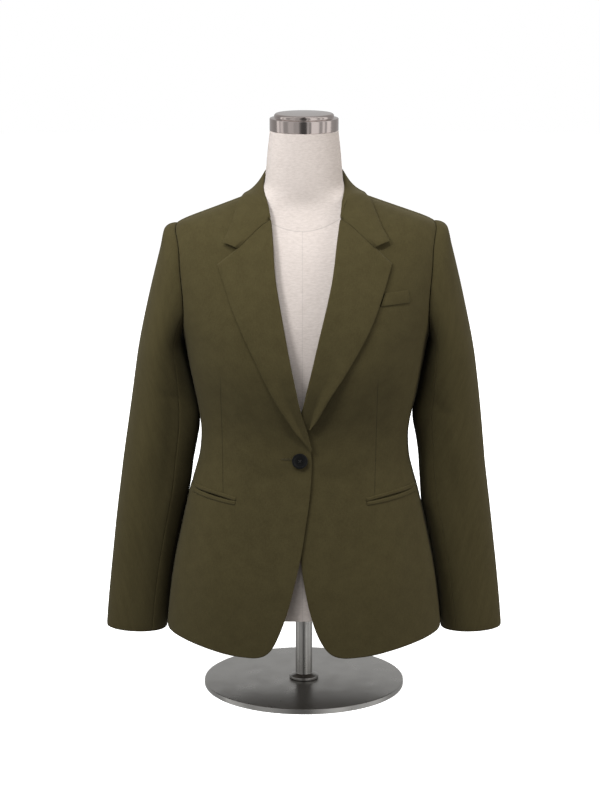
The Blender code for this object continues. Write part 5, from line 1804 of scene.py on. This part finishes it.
loop_x = hole_mid + hole_reach * np.sign(np.cos(loop_turns)) * np.abs(np.cos(loop_turns)) ** 0.7
loop_z = HOLE_HEIGHT + HOLE_WIDE * np.sign(np.sin(loop_turns)) * np.abs(np.sin(loop_turns)) ** 0.6
loop_points = on_hole(loop_x, loop_z, 0.0001)
loop_data = bpy.data.curves.new("buttonhole", "CURVE")
loop_data.dimensions = "3D"
loop_line = loop_data.splines.new("POLY")
loop_line.points.add(len(loop_points) - 1)
for point, spot in zip(loop_line.points, loop_points):
    point.co = (*spot, 1.0)
loop_line.use_cyclic_u = True
worked_buttonhole = new_object("worked_buttonhole", loop_data)

# Silk twist in the cloth's own colour, a little darker, with a slight shine.
silk, tree, shader = new_material("olive_silk_twist", {
    "Base Color": linear("#3D3620"), "Roughness": 0.55,
})
stitching = bpy.data.node_groups.new("purl_stitches", "GeometryNodeTree")
face = stitching.interface
face.new_socket("Geometry", in_out="INPUT", socket_type="NodeSocketGeometry")
spacing_input, stitch_input = (
    face.new_socket(size, in_out="INPUT", socket_type="NodeSocketFloat")
    for size in ("Spacing", "Stitch Length")
)
face.new_socket("Geometry", in_out="OUTPUT", socket_type="NodeSocketGeometry")
way_in = add_node(stitching, "NodeGroupInput").outputs
spread = add_node(
    stitching, "GeometryNodeCurveToPoints",
    {"Curve": way_in["Geometry"], "Length": way_in["Spacing"]}, mode="LENGTH",
)
bead = add_node(
    stitching, "GeometryNodeMeshUVSphere", (), {"Segments": 10, "Rings": 7, "Radius": 1.0}
)
jitter = add_node(
    stitching, "FunctionNodeRandomValue", (), {"Seed": 4, 2: 0.85, 3: 1.15}, data_type="FLOAT"
)
long = add_node(
    stitching, "ShaderNodeMath", {0: way_in["Stitch Length"], 1: jitter.outputs[1]},
    operation="MULTIPLY",
)
narrow = add_node(
    stitching, "ShaderNodeMath", {0: way_in["Spacing"]}, {1: 0.50}, operation="MULTIPLY"
)
size = add_node(stitching, "ShaderNodeCombineXYZ", {"X": long, "Y": narrow, "Z": narrow})
placed = add_node(
    stitching, "GeometryNodeInstanceOnPoints",
    {"Points": spread.outputs["Points"], "Instance": bead.outputs["Mesh"],
     "Rotation": spread.outputs["Rotation"], "Scale": size},
)
real = add_node(stitching, "GeometryNodeRealizeInstances", {"Geometry": placed})
coated = add_node(stitching, "GeometryNodeSetMaterial", {"Geometry": real}, {"Material": silk})
add_node(stitching, "NodeGroupOutput", {"Geometry": coated})
sewing = worked_buttonhole.modifiers.new("Stitches", "NODES")
sewing.node_group = stitching
sewing[spacing_input.identifier] = 0.00062
sewing[stitch_input.identifier] = 0.00075
stitches = worked_out(worked_buttonhole)
bpy.data.objects.remove(worked_buttonhole, do_unlink=True)
# The cord bulges between the stitches and lies flat at its edges.
CORD_STEPS = 24
cord_work = bmesh.new()
cord_work.from_mesh(stitches)
cord_x = np.linspace(HOLE_FROM, HOLE_TO, CORD_STEPS)
to_end = np.clip(1 - ((cord_x - hole_mid) / hole_reach) ** 2, 0, 1)
wide = HOLE_WIDE * 0.9 * np.sqrt(to_end) + 0.00002
rows_made = []
for share in np.linspace(-1, 1, 7):
    lift = np.full(CORD_STEPS, 0.00025) * (1 - share**2) + 0.00002
    points = on_hole(cord_x, HOLE_HEIGHT + wide * share, lift)
    rows_made.append([cord_work.verts.new(p) for p in points])
for lower, upper in zip(rows_made, rows_made[1:]):
    for k in range(CORD_STEPS - 1):
        face = cord_work.faces.new((lower[k], lower[k + 1], upper[k + 1], upper[k]))
        face.material_index = 1
cord_work.to_mesh(stitches)
cord_work.free()
stitches.shade_smooth()
# Painted shade: the cord is coloured nearly black, as the depth of the slit lies in shade.
cord_shade, tree, shader = new_material("buttonhole_cord_painted_shade", {
    "Base Color": linear("#0B0A07"), "Roughness": 0.9,
})
while len(stitches.materials) < 1:
    stitches.materials.append(silk)
stitches.materials.append(cord_shade)
worked_buttonhole = new_object("worked_buttonhole", stitches)
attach(worked_buttonhole, "root")
